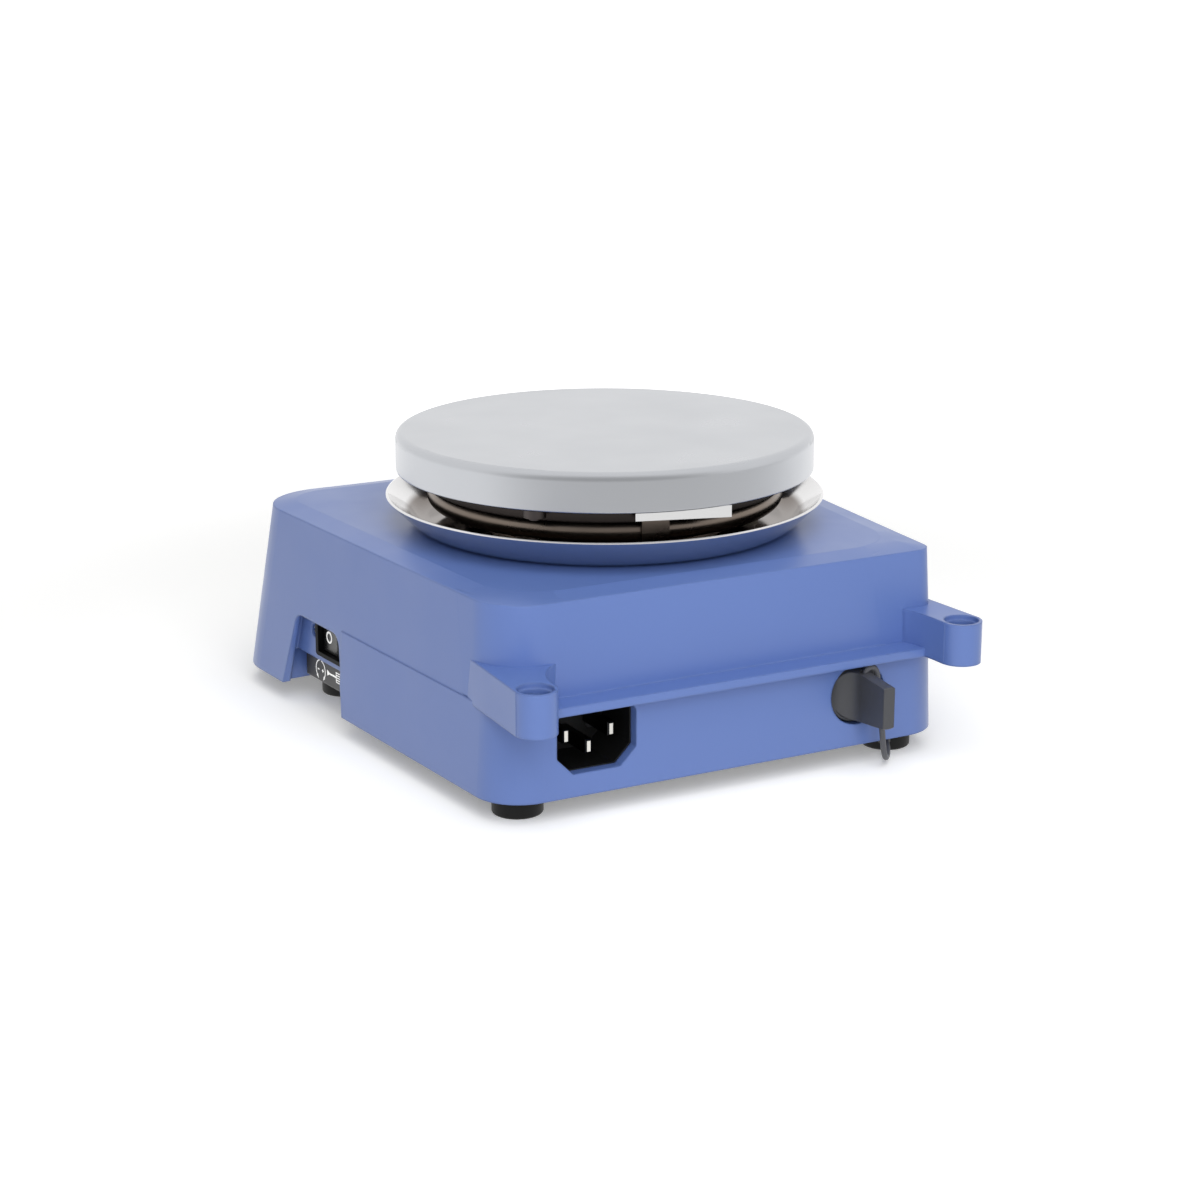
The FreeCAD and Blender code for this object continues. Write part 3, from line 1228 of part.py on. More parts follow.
def power_switch():
    body = new_body("SwitchBody")
    bezel = outline(new_sketch(body, "XY_Plane", 0), rectangle(D.switch_half, D.switch_tall), [1] * 4)
    pad(body, bezel, D.switch_frame)
    shell = outline(new_sketch(body, "XY_Plane", -D.switch_depth),
                    rectangle(D.switch_half - 0.8, D.switch_tall - 0.5))
    pad(body, shell, D.switch_depth + D.switch_frame / 2)
    mouth = outline(new_sketch(body, "XY_Plane", D.switch_frame),
                    rectangle(D.switch_half - 1.7, D.switch_tall - 1.3))
    pocket(body, mouth, D.switch_frame + D.switch_well)
    journal = ring(new_sketch(body, "XZ_Plane"), 1.06, 0, -D.rocker_pivot)
    pocket(body, journal, D.switch_tall * 2 - 1.2, both=True)
    place_in_side(body, D.niche_depth, D.switch_s, D.switch_z)
    keep(body, "switch_body")
    blades = []
    for along in (-5, 5):
        blade = block(0.8, 4.8, 8, along, 0, -D.switch_depth - 8)
        blades.append(blade)
    group = doc.addObject("Part::Compound", "Blades")
    group.Links = blades
    place_in_side(group, D.niche_depth, D.switch_s, D.switch_z)
    keep(group, "switch_terminals")

    rocker = new_body("Rocker")
    half = D.rocker_half
    section = [(-half, 3.4), (0, 2.2), (half, 3.4), (half + 0.2, -1), (4.5, -3.2), (-4.5, -3.2),
               (-half - 0.2, -1)]
    face = outline(new_sketch(rocker, "XZ_Plane"), section, [0.3, 12, 0.3, 0, 0, 0, 0])
    pad(rocker, face, (D.switch_tall - 1.6) * 2, both=True)
    pins = ring(new_sketch(rocker, "XZ_Plane"), 1.0)
    pad(rocker, pins, (D.switch_tall - 0.75) * 2, both=True)
    tilt = Rotation(Vector(0, 1, 0), -D.rocker_turn.value)
    place_in_side(rocker, D.niche_depth + D.rocker_pivot, D.switch_s, D.switch_z, tilt)
    keep(rocker, "power_rocker")


def legend_plate():
    """Black plate in the lower half of the niche, its lower edge bevelled back."""
    body = new_body("LegendPlate")
    back = -D.niche_low_depth
    face = -D.legend_depth
    low = housing_bottom
    section = [(D.legend_top, back), (D.legend_top, face), (low + 3.6, face),
               (low + 0.3, back + 0.6), (low + 0.3, back)]
    profile = outline(new_sketch(body, "YZ_Plane", D.legend_front), section, [0, 0.3, 0.5, 0, 0])
    pad(body, profile, D.legend_rear - D.legend_front)
    place_in_side(body, 0, 0, 0)
    keep(body, "legend_plate")


def limit_adjuster():
    depth = D.niche_depth + 2.2
    pot = minus(block(6.2, 9.0, 7.0, 0, 0, -7.2), round_bar(D.adjuster_radius + 0.05, 9, -8))
    place_in_side(pot, depth, D.adjuster_s, D.adjuster_z)
    keep(pot, "limiter_pot")
    body = new_body("LimitAdjuster")
    bar = ring(new_sketch(body, "XY_Plane", -6.4), D.adjuster_radius)
    pad(body, bar, 7.9)
    slot = outline(new_sketch(body, "XY_Plane", 1.5), rectangle(2, 0.35))
    pocket(body, slot, 0.8)
    place_in_side(body, depth, D.adjuster_s, D.adjuster_z)
    keep(body, "limit_adjuster")


# Front controls

def front_controls():
    wall = D.wall + D.control_gap
    bore = D.spindle_radius + D.spindle_play
    for name, sign in (("heating", -1), ("stirring", 1)):
        spot = (D.knob_x * sign, front_at(D.knob_z), D.knob_z, FRONT)
        control = new_body("Control")
        section = [(bore, -wall - D.control_depth), (D.control_radius, -wall - D.control_depth),
                   (D.control_radius, -wall), (D.bush_radius, -wall), (D.bush_radius, 2.6), (bore, 2.6)]
        revolve(control, outline(new_sketch(control, "XZ_Plane"), section, [0, 1, 0.6, 0, 0.4, 0]))
        place(control, *spot)
        keep(control, f"{name}_control")
        spindle = round_bar(D.spindle_radius, D.control_depth + wall + 10.5, -D.control_depth - wall + 0.5)
        group = doc.addObject("Part::Compound", "Spindle")
        group.Links = [spindle]
        place(group, *spot)
        keep(group, f"{name}_spindle")
        knob(f"{name}_knob", spot)
    nuts = []
    for sign in (-1, 1):
        nut = minus(round_bar(7.0, 2.0), round_bar(D.bush_radius, 4, -1))
        nuts.append(at(nut, D.knob_x * sign, front_at(D.knob_z), D.knob_z, FRONT))
    set_of("control_nuts", nuts)
    lenses = []
    for sign in (-1, 1):
        lens = fused(round_bar(D.lens_radius, wall + 3.5, -wall - 3), round_bar(D.lens_radius + 0.6, 2, -wall - 2))
        up = FRONT.multVec(Vector(0, D.lens_up.value, 0))
        lenses.append(at(lens, D.lens_x * sign, front_at(D.knob_z) + up.y, D.knob_z + up.z, FRONT))
    set_of("indicator_lenses", lenses)


def knob(label, spot):
    """A skirted knob with finger flutes and a pointer line, hollow underneath."""
    body = new_body("Knob")
    low, high = D.knob_gap, D.knob_gap + D.knob_height
    grip = D.knob_radius - 2.6
    section = [(D.spindle_radius, low + 3.4), (8.2, low + 3.4), (8.2, low), (D.knob_radius, low),
               (D.knob_radius, low + D.knob_skirt), (grip, low + D.knob_skirt + 0.6), (grip - 0.8, high),
               (0, high), (0, high - 2), (D.spindle_radius, high - 2)]
    revolve(body, outline(new_sketch(body, "XZ_Plane"), section, [0, 0, 0, 0.4, 0.8, 0.8, 1.2, 0, 0, 0]))
    flute = ring(new_sketch(body, "XY_Plane", high + 1), 2.0, grip + 1.1, 0)
    before = volume(body)
    cut = pocket(body, flute, D.knob_height - D.knob_skirt - 0.2)
    pattern = body.newObject("PartDesign::PolarPattern", "Flutes")
    pattern.Originals = [cut]
    pattern.Axis = (flute, ["N_Axis"])
    pattern.Angle = 360
    pattern.Occurrences = 12
    body.Tip = pattern
    doc.recompute()
    line = outline(new_sketch(body, "XY_Plane", high), [(-0.5, 2.5), (0.5, 2.5), (0.5, grip), (-0.5, grip)])
    pocket(body, line, 0.5)
    if volume(body) >= before:
        raise RuntimeError("the flutes cut nothing")
    place(body, *spot)
    return keep(body, label)


# Control board on the base plate

def electronics():
    floor = housing_bottom + D.base_thickness
    top = D.board_z + D.board_thickness
    corners = [(x * (D.board_length / 2 - 5), D.board_y + y * (D.board_width / 2 - 5))
               for x, y in ((1, 1), (-1, 1), (-1, -1), (1, -1))]
    body = new_body("ControlBoard")
    half_x, half_y = D.board_length / 2, D.board_width / 2
    board = outline(new_sketch(body, "XY_Plane", D.board_z),
                    [(-half_x, D.board_y - half_y), (half_x, D.board_y - half_y),
                     (half_x, D.board_y + half_y), (-half_x, D.board_y + half_y)], [3] * 4)
    for x, y in corners:
        ring(board, 1.6, x, y)
    pad(body, board, D.board_thickness)
    place(body)
    keep(body, "control_board")
    posts, screws = [], []
    for x, y in corners:
        posts.append(at(round_bar(D.standoff_radius, D.board_z - floor), x, y, floor))
        screws.append(at(screw(1.5, 2.6, D.board_thickness + 0.0, 1.6), x, y, top))
    set_of("board_standoffs", posts)
    set_of("board_screws", screws)
    core = fused(block(30, 26, 22, -24, D.board_y, top), block(16, 34, 16, -24, D.board_y, top + 3))
    place(core)
    keep(core, "transformer")
    can = round_bar(6.5, 20)
    place(can, 2, D.board_y + D.board_width / 2 - D.capacitor_inset, top)
    keep(can, "capacitor")
    sink = new_body("HeatSink")
    fins = [(18, D.board_y - 14)]
    for row in range(5):
        y = D.board_y - 14 + row * 5.5
        fins += [(36, y), (36, y + 1.6)]
        if row < 4:
            fins += [(20.4, y + 1.6), (20.4, y + 5.5)]
    fins += [(18, D.board_y + 9.6)]
    pad(sink, outline(new_sketch(sink, "XY_Plane", top), fins), 20)
    place(sink)
    keep(sink, "heat_sink")
    triac = block(3.6, 10, 15, 16.1, D.board_y - 2, top + 1)
    set_of("triac", [triac])
    set_of("relay", [block(12, 26, 15, 4, D.board_y - 9, top)])


upper_housing()
base_plate()
feet()
hot_plate()
posts()
heater()
clamps()
under_plate()
drip_bowl()
magnet_cover()
motor()
drive()
mains_inlet()
thermometer_socket()
dummy_plug()
plug_tether()
power_switch()
legend_plate()
limit_adjuster()
front_controls()
electronics()

doc.recompute()
names = [thing.Label for thing in subparts]
if len(set(names)) != len(names):
    raise RuntimeError("two pieces share a name")
for thing in doc.Objects:
    if "Invalid" in thing.State or "Error" in thing.State:
        raise RuntimeError(f"{thing.Name} ({thing.Label}) failed: {thing.State}")
for thing in subparts:
    if thing.Shape.isNull() or not thing.Shape.isValid():
        raise RuntimeError(f"{thing.Label} has no valid shape")

os.makedirs("parts", exist_ok=True)
for thing in subparts:
    thing.Shape.exportStep(f"parts/{thing.Label}.step")
print(len(subparts), "pieces")
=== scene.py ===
# %% [markdown]
# # A hotplate magnetic stirrer, seen from behind
# The stirrer is a low blue moulded housing with a round aluminium hot plate above a polished
# drip bowl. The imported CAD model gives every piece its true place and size, so this script
# mostly dresses it: finishes, printed marks, threads, the plug's tether, light and camera.

# %% The frame and the unit
import math

import bmesh
import bpy
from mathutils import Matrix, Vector


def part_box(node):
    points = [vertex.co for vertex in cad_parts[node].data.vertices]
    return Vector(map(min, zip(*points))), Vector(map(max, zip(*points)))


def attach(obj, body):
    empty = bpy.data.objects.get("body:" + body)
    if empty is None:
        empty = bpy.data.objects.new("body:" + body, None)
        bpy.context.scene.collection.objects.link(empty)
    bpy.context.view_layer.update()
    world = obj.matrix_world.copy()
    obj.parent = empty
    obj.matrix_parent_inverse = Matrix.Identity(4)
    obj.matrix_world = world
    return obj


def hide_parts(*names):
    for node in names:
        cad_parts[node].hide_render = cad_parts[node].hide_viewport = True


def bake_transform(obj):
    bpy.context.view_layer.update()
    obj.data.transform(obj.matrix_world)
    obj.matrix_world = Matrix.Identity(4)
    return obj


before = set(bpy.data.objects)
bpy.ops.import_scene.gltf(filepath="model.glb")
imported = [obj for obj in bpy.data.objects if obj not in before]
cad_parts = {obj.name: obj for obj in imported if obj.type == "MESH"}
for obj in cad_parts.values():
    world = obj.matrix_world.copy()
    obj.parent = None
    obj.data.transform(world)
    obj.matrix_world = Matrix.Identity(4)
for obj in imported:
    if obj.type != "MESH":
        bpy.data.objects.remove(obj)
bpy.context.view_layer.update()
MM = 0.001

# %% [markdown]
# ## Camera
# The picture is a studio shot from behind, above the bench by about sixteen degrees. A camera
# can be moved by eye until the edges match. This one's place and lens were worked out from
# the plate's ellipse and the housing's straight edges, which leaves less to chance.

# %% Camera
CAMERA_PLACE = Vector((350.7, 658.0, 246.7)) * MM
CAMERA_TARGET = Vector((4.10, 10.93, 38.48)) * MM
CAMERA_LENS = 75.78
SENSOR_WIDTH = 36.0
NEAREST_SEEN = 10 * MM


def add_object(name, data):
    """A new object in the scene that shows this data."""
    made = bpy.data.objects.new(name, data)
    bpy.context.scene.collection.objects.link(made)
    return made


camera_data = bpy.data.cameras.new("camera")
camera_data.sensor_width = SENSOR_WIDTH
camera_data.lens = CAMERA_LENS
camera_data.clip_start = NEAREST_SEEN
camera = add_object("camera", camera_data)
camera.location = CAMERA_PLACE
camera.rotation_euler = (CAMERA_TARGET - CAMERA_PLACE).to_track_quat("-Z", "Y").to_euler()
bpy.context.scene.camera = camera
bpy.context.scene.view_settings.view_transform = "Standard"
print("camera distance in mm:", round((CAMERA_PLACE - CAMERA_TARGET).length / MM))

# %% [markdown]
# ## Adding a node
# Shaders can be wired by hand in the Shader Editor. In a script one small helper is enough:
# it adds a node of any kind, sets the node's own properties, and links or fills its inputs.

# %% The node helper
def add_node(tree, kind, inputs=None, **settings):
    """Add one shader node: settings are its own properties, inputs are links or plain values."""
    made = tree.nodes.new("ShaderNode" + kind)
    for name, value in settings.items():
        setattr(made, name, value)
    for socket, value in (inputs or {}).items():
        if isinstance(value, bpy.types.NodeSocket):
            tree.links.new(value, made.inputs[socket])
        else:
            made.inputs[socket].default_value = value
    return made


# %% [markdown]
# ## The world
# The stirrer stands in a white light tent. The world gives its even light, and pure white
# where the camera looks at it. Mirrors see a tent that is bright behind and beside the
# stirrer and dimmer on the camera's side, because a real studio is dark behind the camera.
# That dim side is what gives the plate its modelling.

# %% World: even light, white background, and a dimmer camera side in reflections
WORLD_LIGHT = 0.37
WHITE = (1, 1, 1, 1)
TENT_BRIGHT = 1.14
TENT_DIM = 0.62
CAMERA_SIDE = Vector((0.42, 0.90, 0.10)).normalized()
# How far a direction leans to the camera's side, as a cosine, where the dimming starts and ends
DIM_START, DIM_END = 0.25, 0.9

world = bpy.data.worlds.new("studio_tent")
bpy.context.scene.world = world
world.use_nodes = True
tree = world.node_tree
tree.nodes.clear()
path = add_node(tree, "LightPath")
seen = add_node(tree, "Math", {0: path.outputs["Is Camera Ray"],
                               1: path.outputs["Is Transmission Ray"]}, operation="MAXIMUM")
direction = add_node(tree, "TexCoord")
leaning = add_node(tree, "VectorMath", {0: direction.outputs["Generated"], 1: CAMERA_SIDE},
                   operation="DOT_PRODUCT")
tent = add_node(tree, "MapRange", {"Value": leaning.outputs["Value"],
                                   "From Min": DIM_START, "From Max": DIM_END,
                                   "To Min": TENT_BRIGHT, "To Max": TENT_DIM},
                interpolation_type="SMOOTHSTEP")
lit = add_node(tree, "Background", {"Color": WHITE, "Strength": WORLD_LIGHT})
mirrored = add_node(tree, "Background", {"Color": WHITE, "Strength": tent.outputs[0]})
plain_white = add_node(tree, "Background", {"Color": WHITE, "Strength": 1.0})
with_gloss = add_node(tree, "MixShader", {0: path.outputs["Is Glossy Ray"],
                                          1: lit.outputs[0], 2: mirrored.outputs[0]})
shown = add_node(tree, "MixShader", {0: seen.outputs[0], 1: with_gloss.outputs[0],
                                     2: plain_white.outputs[0]})
add_node(tree, "OutputWorld", {"Surface": shown.outputs[0]})
print("nodes in the world:", len(tree.nodes))

# %% [markdown]
# ## The lamps
# Two large soft lamps shape the stirrer: one behind the camera lights the rear wall, and one
# high above lights the deck and the plate. In polished metal they would show as bright
# squares, so they are hidden from mirrors, which see only the tent and the floor.

# %% The lamps
LAMP_AIM = (0, 0, 40)
KEY_PLACE, KEY_SIZE, KEY_POWER = (330, 900, 420), 700, 5.6
TOP_PLACE, TOP_SIZE, TOP_POWER = (120, 420, 900), 900, 6.0


def soft_lamp(name, place, size, power):
    """A square area lamp of a size and at a place in millimetres, its power in watts."""
    data = bpy.data.lights.new(name, "AREA")
    data.shape = "SQUARE"
    data.size = size * MM
    data.energy = power
    lamp = add_object(name, data)
    lamp.location = Vector(place) * MM
    aim = Vector(LAMP_AIM) * MM - lamp.location
    lamp.rotation_euler = aim.to_track_quat("-Z", "Y").to_euler()
    lamp.visible_glossy = False


soft_lamp("key_lamp", KEY_PLACE, KEY_SIZE, KEY_POWER)
soft_lamp("top_lamp", TOP_PLACE, TOP_SIZE, TOP_POWER)

# %% [markdown]
# ## Colours
# Colours are written as sRGB hex values, as picked on a screen. Shaders work in linear light,
# so one function turns the first into the second.

# %% The colour helper
def linear(hex_color):
    """The linear colour of an sRGB hex value such as '6E86C4'."""
    channels = []
    for place in (0, 2, 4):
        value = int(hex_color[place:place + 2], 16) / 255
        channels.append(value / 12.92 if value <= 0.04045 else ((value + 0.055) / 1.055) ** 2.4)
    return (*channels, 1.0)


print("a middle grey in linear light:", round(linear("808080")[0], 3))

# %% [markdown]
# ## Floor
# The floor is white paper. It is lifted a little for the camera, and with distance it is
# lifted to plain white, so that it runs into the background without a line. Mirrors see it
# as a glow that is weaker on the camera's side, which shades the middle of the plate's rim.

# %% Floor
FLOOR_REACH = 6.0

floor_mesh = bpy.data.meshes.new("floor")
floor_mesh.from_pydata([(-FLOOR_REACH, -FLOOR_REACH, 0), (FLOOR_REACH, -FLOOR_REACH, 0),
                        (FLOOR_REACH, FLOOR_REACH, 0), (-FLOOR_REACH, FLOOR_REACH, 0)],
                       [], [(0, 1, 2, 3)])
floor = add_object("floor", floor_mesh)
floor_paint = bpy.data.materials.new("white_studio_floor")
floor_paint.use_nodes = True
tree = floor_paint.node_tree
shader = tree.nodes["Principled BSDF"]
shader.inputs["Base Color"].default_value = linear("F5F5F4")
shader.inputs["Roughness"].default_value = 0.9
shader.inputs["Specular IOR Level"].default_value = 0.1
shader.inputs["Emission Color"].default_value = WHITE
print("floor reaches in m:", 2 * FLOOR_REACH)

# %% How the camera and the mirrors see the floor
LIFT_NEAR, LIFT_FAR = 0.22, 0.75
LIFT_STARTS, LIFT_ENDS = 200 * MM, 550 * MM
MIRRORED_BEHIND, MIRRORED_IN_FRONT = 1.30, 0.86
# The glow fades from the far half of the stirrer to well on the camera's side
BEHIND_Y, IN_FRONT_Y = -50 * MM, 350 * MM

path = add_node(tree, "LightPath")
spot = add_node(tree, "NewGeometry")
distance = add_node(tree, "VectorMath", {0: spot.outputs["Position"]}, operation="LENGTH")
lift = add_node(tree, "MapRange", {"Value": distance.outputs["Value"],
                                   "From Min": LIFT_STARTS, "From Max": LIFT_ENDS,
                                   "To Min": LIFT_NEAR, "To Max": LIFT_FAR},
                interpolation_type="SMOOTHSTEP")
emitted = add_node(tree, "Math", {0: lift.outputs[0], 1: path.outputs["Is Camera Ray"]},
                   operation="MULTIPLY")
tree.links.new(emitted.outputs[0], shader.inputs["Emission Strength"])
where = add_node(tree, "SeparateXYZ", {0: spot.outputs["Position"]})
fading = add_node(tree, "MapRange", {"Value": where.outputs["Y"],
                                     "From Min": BEHIND_Y, "From Max": IN_FRONT_Y,
                                     "To Min": MIRRORED_BEHIND, "To Max": MIRRORED_IN_FRONT},
                  interpolation_type="SMOOTHSTEP")
glowing = add_node(tree, "Emission", {"Color": WHITE, "Strength": fading.outputs[0]})
either = add_node(tree, "MixShader", {0: path.outputs["Is Glossy Ray"], 1: shader.outputs[0],
                                      2: glowing.outputs[0]})
tree.links.new(either.outputs[0], tree.nodes["Material Output"].inputs["Surface"])
floor_mesh.materials.append(floor_paint)
print("floor paint:", floor_paint.name)

# %% [markdown]
# ## The tether of the dummy plug
# A thin limp cord keeps the dummy plug from getting lost. It leaves the plug's grip upwards,
# folds back tightly, hangs down and curls under the bottom edge to a boss. One smooth NURBS
# line with the CAD route's points as its control points follows it. The line becomes a
# tube mesh.

# %% Route of the tether
PLATE_AXIS_Y = 6.2 * MM
SOCKET_X = -41.9
TETHER_Y = 79.0
TETHER_RADIUS = 0.85 * MM
TETHER_POINTS = [
    (SOCKET_X - 0.2, TETHER_Y, 26.7), (SOCKET_X - 0.2, TETHER_Y, 30.6),
    (SOCKET_X - 4.0, TETHER_Y + 0.2, 30.6), (SOCKET_X - 4.7, TETHER_Y + 0.5, 25.5),
    (SOCKET_X - 4.9, TETHER_Y + 1.6, 18.5), (SOCKET_X - 5.3, TETHER_Y + 2.4, 11.0),
    (SOCKET_X - 6.3, TETHER_Y + 2.2, 4.2), (SOCKET_X - 8.4, TETHER_Y + 0.4, 1.9),
    (SOCKET_X - 11.0, TETHER_Y - 2.6, 2.6), (SOCKET_X - 12.7, TETHER_Y - 5.6, 4.0),
    (-55.6, 70.4, 4.8)]


def from_axis(x, y, z):
    """A point in metres from millimetres, with y counted from the plate's axis."""
    return Vector((x * MM, y * MM + PLATE_AXIS_Y, z * MM))


print("points of the route:", len(TETHER_POINTS))


# %% Tube of the tether
def nurbs_curve(name, points, radius):
    """A smooth tube along given points, in millimetres from the plate's axis."""
    data = bpy.data.curves.new(name, "CURVE")
    data.dimensions = "3D"
    data.resolution_u = 16
    data.bevel_depth = radius
    data.bevel_resolution = 5
    data.use_fill_caps = True
    spline = data.splines.new("NURBS")
    spline.points.add(len(points) - 1)
    for target, point in zip(spline.points, points):
        target.co = (*from_axis(*point), 1.0)
    spline.order_u = 3
    spline.use_endpoint_u = True
    return add_object(name, data)


def drawn_mesh(curve):
    """The mesh that Blender draws for a curve."""
    bpy.context.view_layer.update()
    evaluated = curve.evaluated_get(bpy.context.evaluated_depsgraph_get())
    return bpy.data.meshes.new_from_object(evaluated)


tether_curve = nurbs_curve("tether_curve", TETHER_POINTS, TETHER_RADIUS)
tether_mesh = drawn_mesh(tether_curve)
tether_curve.data.bevel_depth = 0
tether_line = [vertex.co.copy() for vertex in drawn_mesh(tether_curve).vertices]
bpy.data.objects.remove(tether_curve)
tether = add_object("tether", tether_mesh)
tether_mesh.polygons.foreach_set("use_smooth", [True] * len(tether_mesh.polygons))

# %% [markdown]
# ## How a finish is made
# Each finish is one Principled shader with four kinds of detail. Fine bumps of a real size
# break up the highlight. A slow noise changes the gloss, as handling and moulding do. A
# second slow noise varies the colour by a few percent, because no real surface is one flat
# colour. The Bevel node rounds the shading at sharp CAD edges, so that they catch light.
# Real grain is often finer than a pixel here, so the bumps, 0.2 to 2 mm wide, are coarser
# than life where finer ones would not show.

# %% The finish helper
GLOSS_PATCH = 22.2
COLOR_PATCH = 35.7
# A noise runs from 0 to 1 but seldom leaves this range
NOISE_LOW, NOISE_HIGH = 0.3, 0.7


def finish(name, color, gloss, metallic=0.0, bumps=(0.3, 0.004), vary=0.05, edge_mm=0.25,
           stretch=(1, 1, 1), **sockets):
    """A material: gloss is the lowest and highest roughness, bumps their size and depth in mm."""
    material = bpy.data.materials.new(name)
    material.use_nodes = True
    tree = material.node_tree
    shader = tree.nodes["Principled BSDF"]
    shader.inputs["Metallic"].default_value = metallic
    for socket, value in sockets.items():
        shader.inputs[socket.replace("_", " ")].default_value = value
    place = add_node(tree, "TexCoord")
    slow = add_node(tree, "TexNoise", {"Vector": place.outputs["Object"], "Detail": 3.0,
                                       "Scale": 1 / (GLOSS_PATCH * MM)})
    spread = add_node(tree, "MapRange", {"Value": slow.outputs["Fac"],
                                         "From Min": NOISE_LOW, "From Max": NOISE_HIGH,
                                         "To Min": gloss[0], "To Max": gloss[1]})
    tree.links.new(spread.outputs[0], shader.inputs["Roughness"])
    base = linear(color)
    darker = (*(channel * (1 - vary) for channel in base[:3]), 1.0)
    cloud = add_node(tree, "TexNoise", {"Vector": place.outputs["Object"], "Detail": 4.0,
                                        "Scale": 1 / (COLOR_PATCH * MM)})
    tint = add_node(tree, "MixRGB", {"Fac": cloud.outputs["Fac"], "Color1": darker,
                                     "Color2": base})
    tree.links.new(tint.outputs[0], shader.inputs["Base Color"])
    size_mm, depth_mm = bumps
    scaled = add_node(tree, "Mapping", {"Vector": place.outputs["Object"], "Scale": stretch})
    grain = add_node(tree, "TexNoise", {"Vector": scaled.outputs[0], "Detail": 2.0,
                                        "Scale": 1 / (size_mm * MM)})
    edges = add_node(tree, "Bevel", {"Radius": edge_mm * MM}, samples=4)
    bump = add_node(tree, "Bump", {"Height": grain.outputs["Fac"], "Strength": 0.5,
                                   "Distance": depth_mm * MM, "Normal": edges.outputs[0]})
    tree.links.new(bump.outputs["Normal"], shader.inputs["Normal"])
    return material, tree, shader, tint


print("patches of gloss and colour in mm:", GLOSS_PATCH, COLOR_PATCH)

# %% [markdown]
# ## Blue housing: injection-moulded ABS
# The housing is ABS with a fine spark-eroded texture from the mould. It could be a plain
# blue, but semi-gloss is what makes it look moulded: the rear wall scatters its blue, while
# the deck and the side, which are seen at a low angle, mirror the white studio softly.

# %% Housing finish
def dress(material, *names):
    """Give CAD nodes this finish."""
    for name in names:
        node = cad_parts[name]
        node.data.materials.clear()
        node.data.materials.append(material)


# ABS from a steel mould: an even blue whose low-angle faces turn pale and softly bright.
abs_blue, *_ = finish("moulded_abs_blue", "5971AC", (0.30, 0.38), bumps=(0.35, 0.004),
                      vary=0.04, edge_mm=0.9, IOR=1.52)
dress(abs_blue, "upper_housing")
print("housing finish:", abs_blue.name)

# %% [markdown]
# ## Distance from the plate's axis
# The plate and the bowl are turned parts, so what changes on them changes with the distance
# from one upright axis. A small chain of nodes works that distance out at each shaded spot.

# %% Distance from the axis, as nodes
def axis_distance(tree):
    """A socket with the distance in metres from the plate's upright axis."""
    place = add_node(tree, "TexCoord")
    moved = add_node(tree, "VectorMath", {0: place.outputs["Object"],
                                          1: (0, PLATE_AXIS_Y, 0)}, operation="SUBTRACT")
    flat = add_node(tree, "VectorMath", {0: moved.outputs[0], 1: (1, 1, 0)},
                    operation="MULTIPLY")
    length = add_node(tree, "VectorMath", {0: flat.outputs[0]}, operation="LENGTH")
    return length.outputs["Value"]


# %% [markdown]
# ## Hot plate: turned aluminium alloy
# The plate is cast aluminium, faced on a lathe and fine-blasted, so it is satin with barely
# visible rings 0.5 mm apart. A sine wave of the distance from the axis makes the rings. Its
# underside is painted a dark brown-grey: a painted shade, which keeps the gap above the
# drip bowl dark.

# %% Plate finish
RING_PITCH = 0.5
RING_DEPTH = 0.002
UNDERSIDE_Z = 79.1

# Turned aluminium: a broad soft sheen that follows the rim round, with faint rings on top.
satin_aluminium, tree, shader, tint = finish(
    "turned_aluminium", "BABCC0", (0.27, 0.32), metallic=1.0, bumps=(0.3, 0.002), vary=0.02,
    edge_mm=0.5)
phase = add_node(tree, "Math", {0: axis_distance(tree), 1: 2 * math.pi / (RING_PITCH * MM)},
                 operation="MULTIPLY")
wave = add_node(tree, "Math", {0: phase.outputs[0]}, operation="SINE")
first_bump = shader.inputs["Normal"].links[0].from_node
rings = add_node(tree, "Bump", {"Height": wave.outputs[0], "Strength": 0.25,
                                "Distance": RING_DEPTH * MM,
                                "Normal": first_bump.outputs[0]})
tree.links.new(rings.outputs["Normal"], shader.inputs["Normal"])
place = add_node(tree, "TexCoord")
height = add_node(tree, "SeparateXYZ", {0: place.outputs["Object"]})
below = add_node(tree, "Math", {0: height.outputs["Z"], 1: UNDERSIDE_Z * MM},
                 operation="LESS_THAN")
# Below UNDERSIDE_Z the plate is painted dark brown-grey: painted shade in the gap.
painted_shade_underside = add_node(tree, "MixRGB", {"Fac": below.outputs[0], "Color1": tint.outputs[0],
                                 "Color2": linear("3B3634")})
tree.links.new(painted_shade_underside.outputs[0], shader.inputs["Base Color"])
dress(satin_aluminium, "hot_plate")
plate_low, plate_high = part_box("hot_plate")
print("rings on the plate:", round((plate_high[0] - plate_low[0]) / 2 / (RING_PITCH * MM)))

# %% [markdown]
# ## Drip bowl: polished stainless steel
# The bowl is spun from thin stainless sheet and polished, so it mirrors the studio, the blue
# housing and the dark gap under the plate. Its upper side, except for the rim, is painted a
# dim brown-grey as painted shade under the plate. The shade could be painted as an image; here
# it is a step in the distance from the axis, held to the faces that look up.

# %% Bowl finish
PAINTED_SHADE_UP_TO, BRIGHT_FROM = 58.6, 60.6
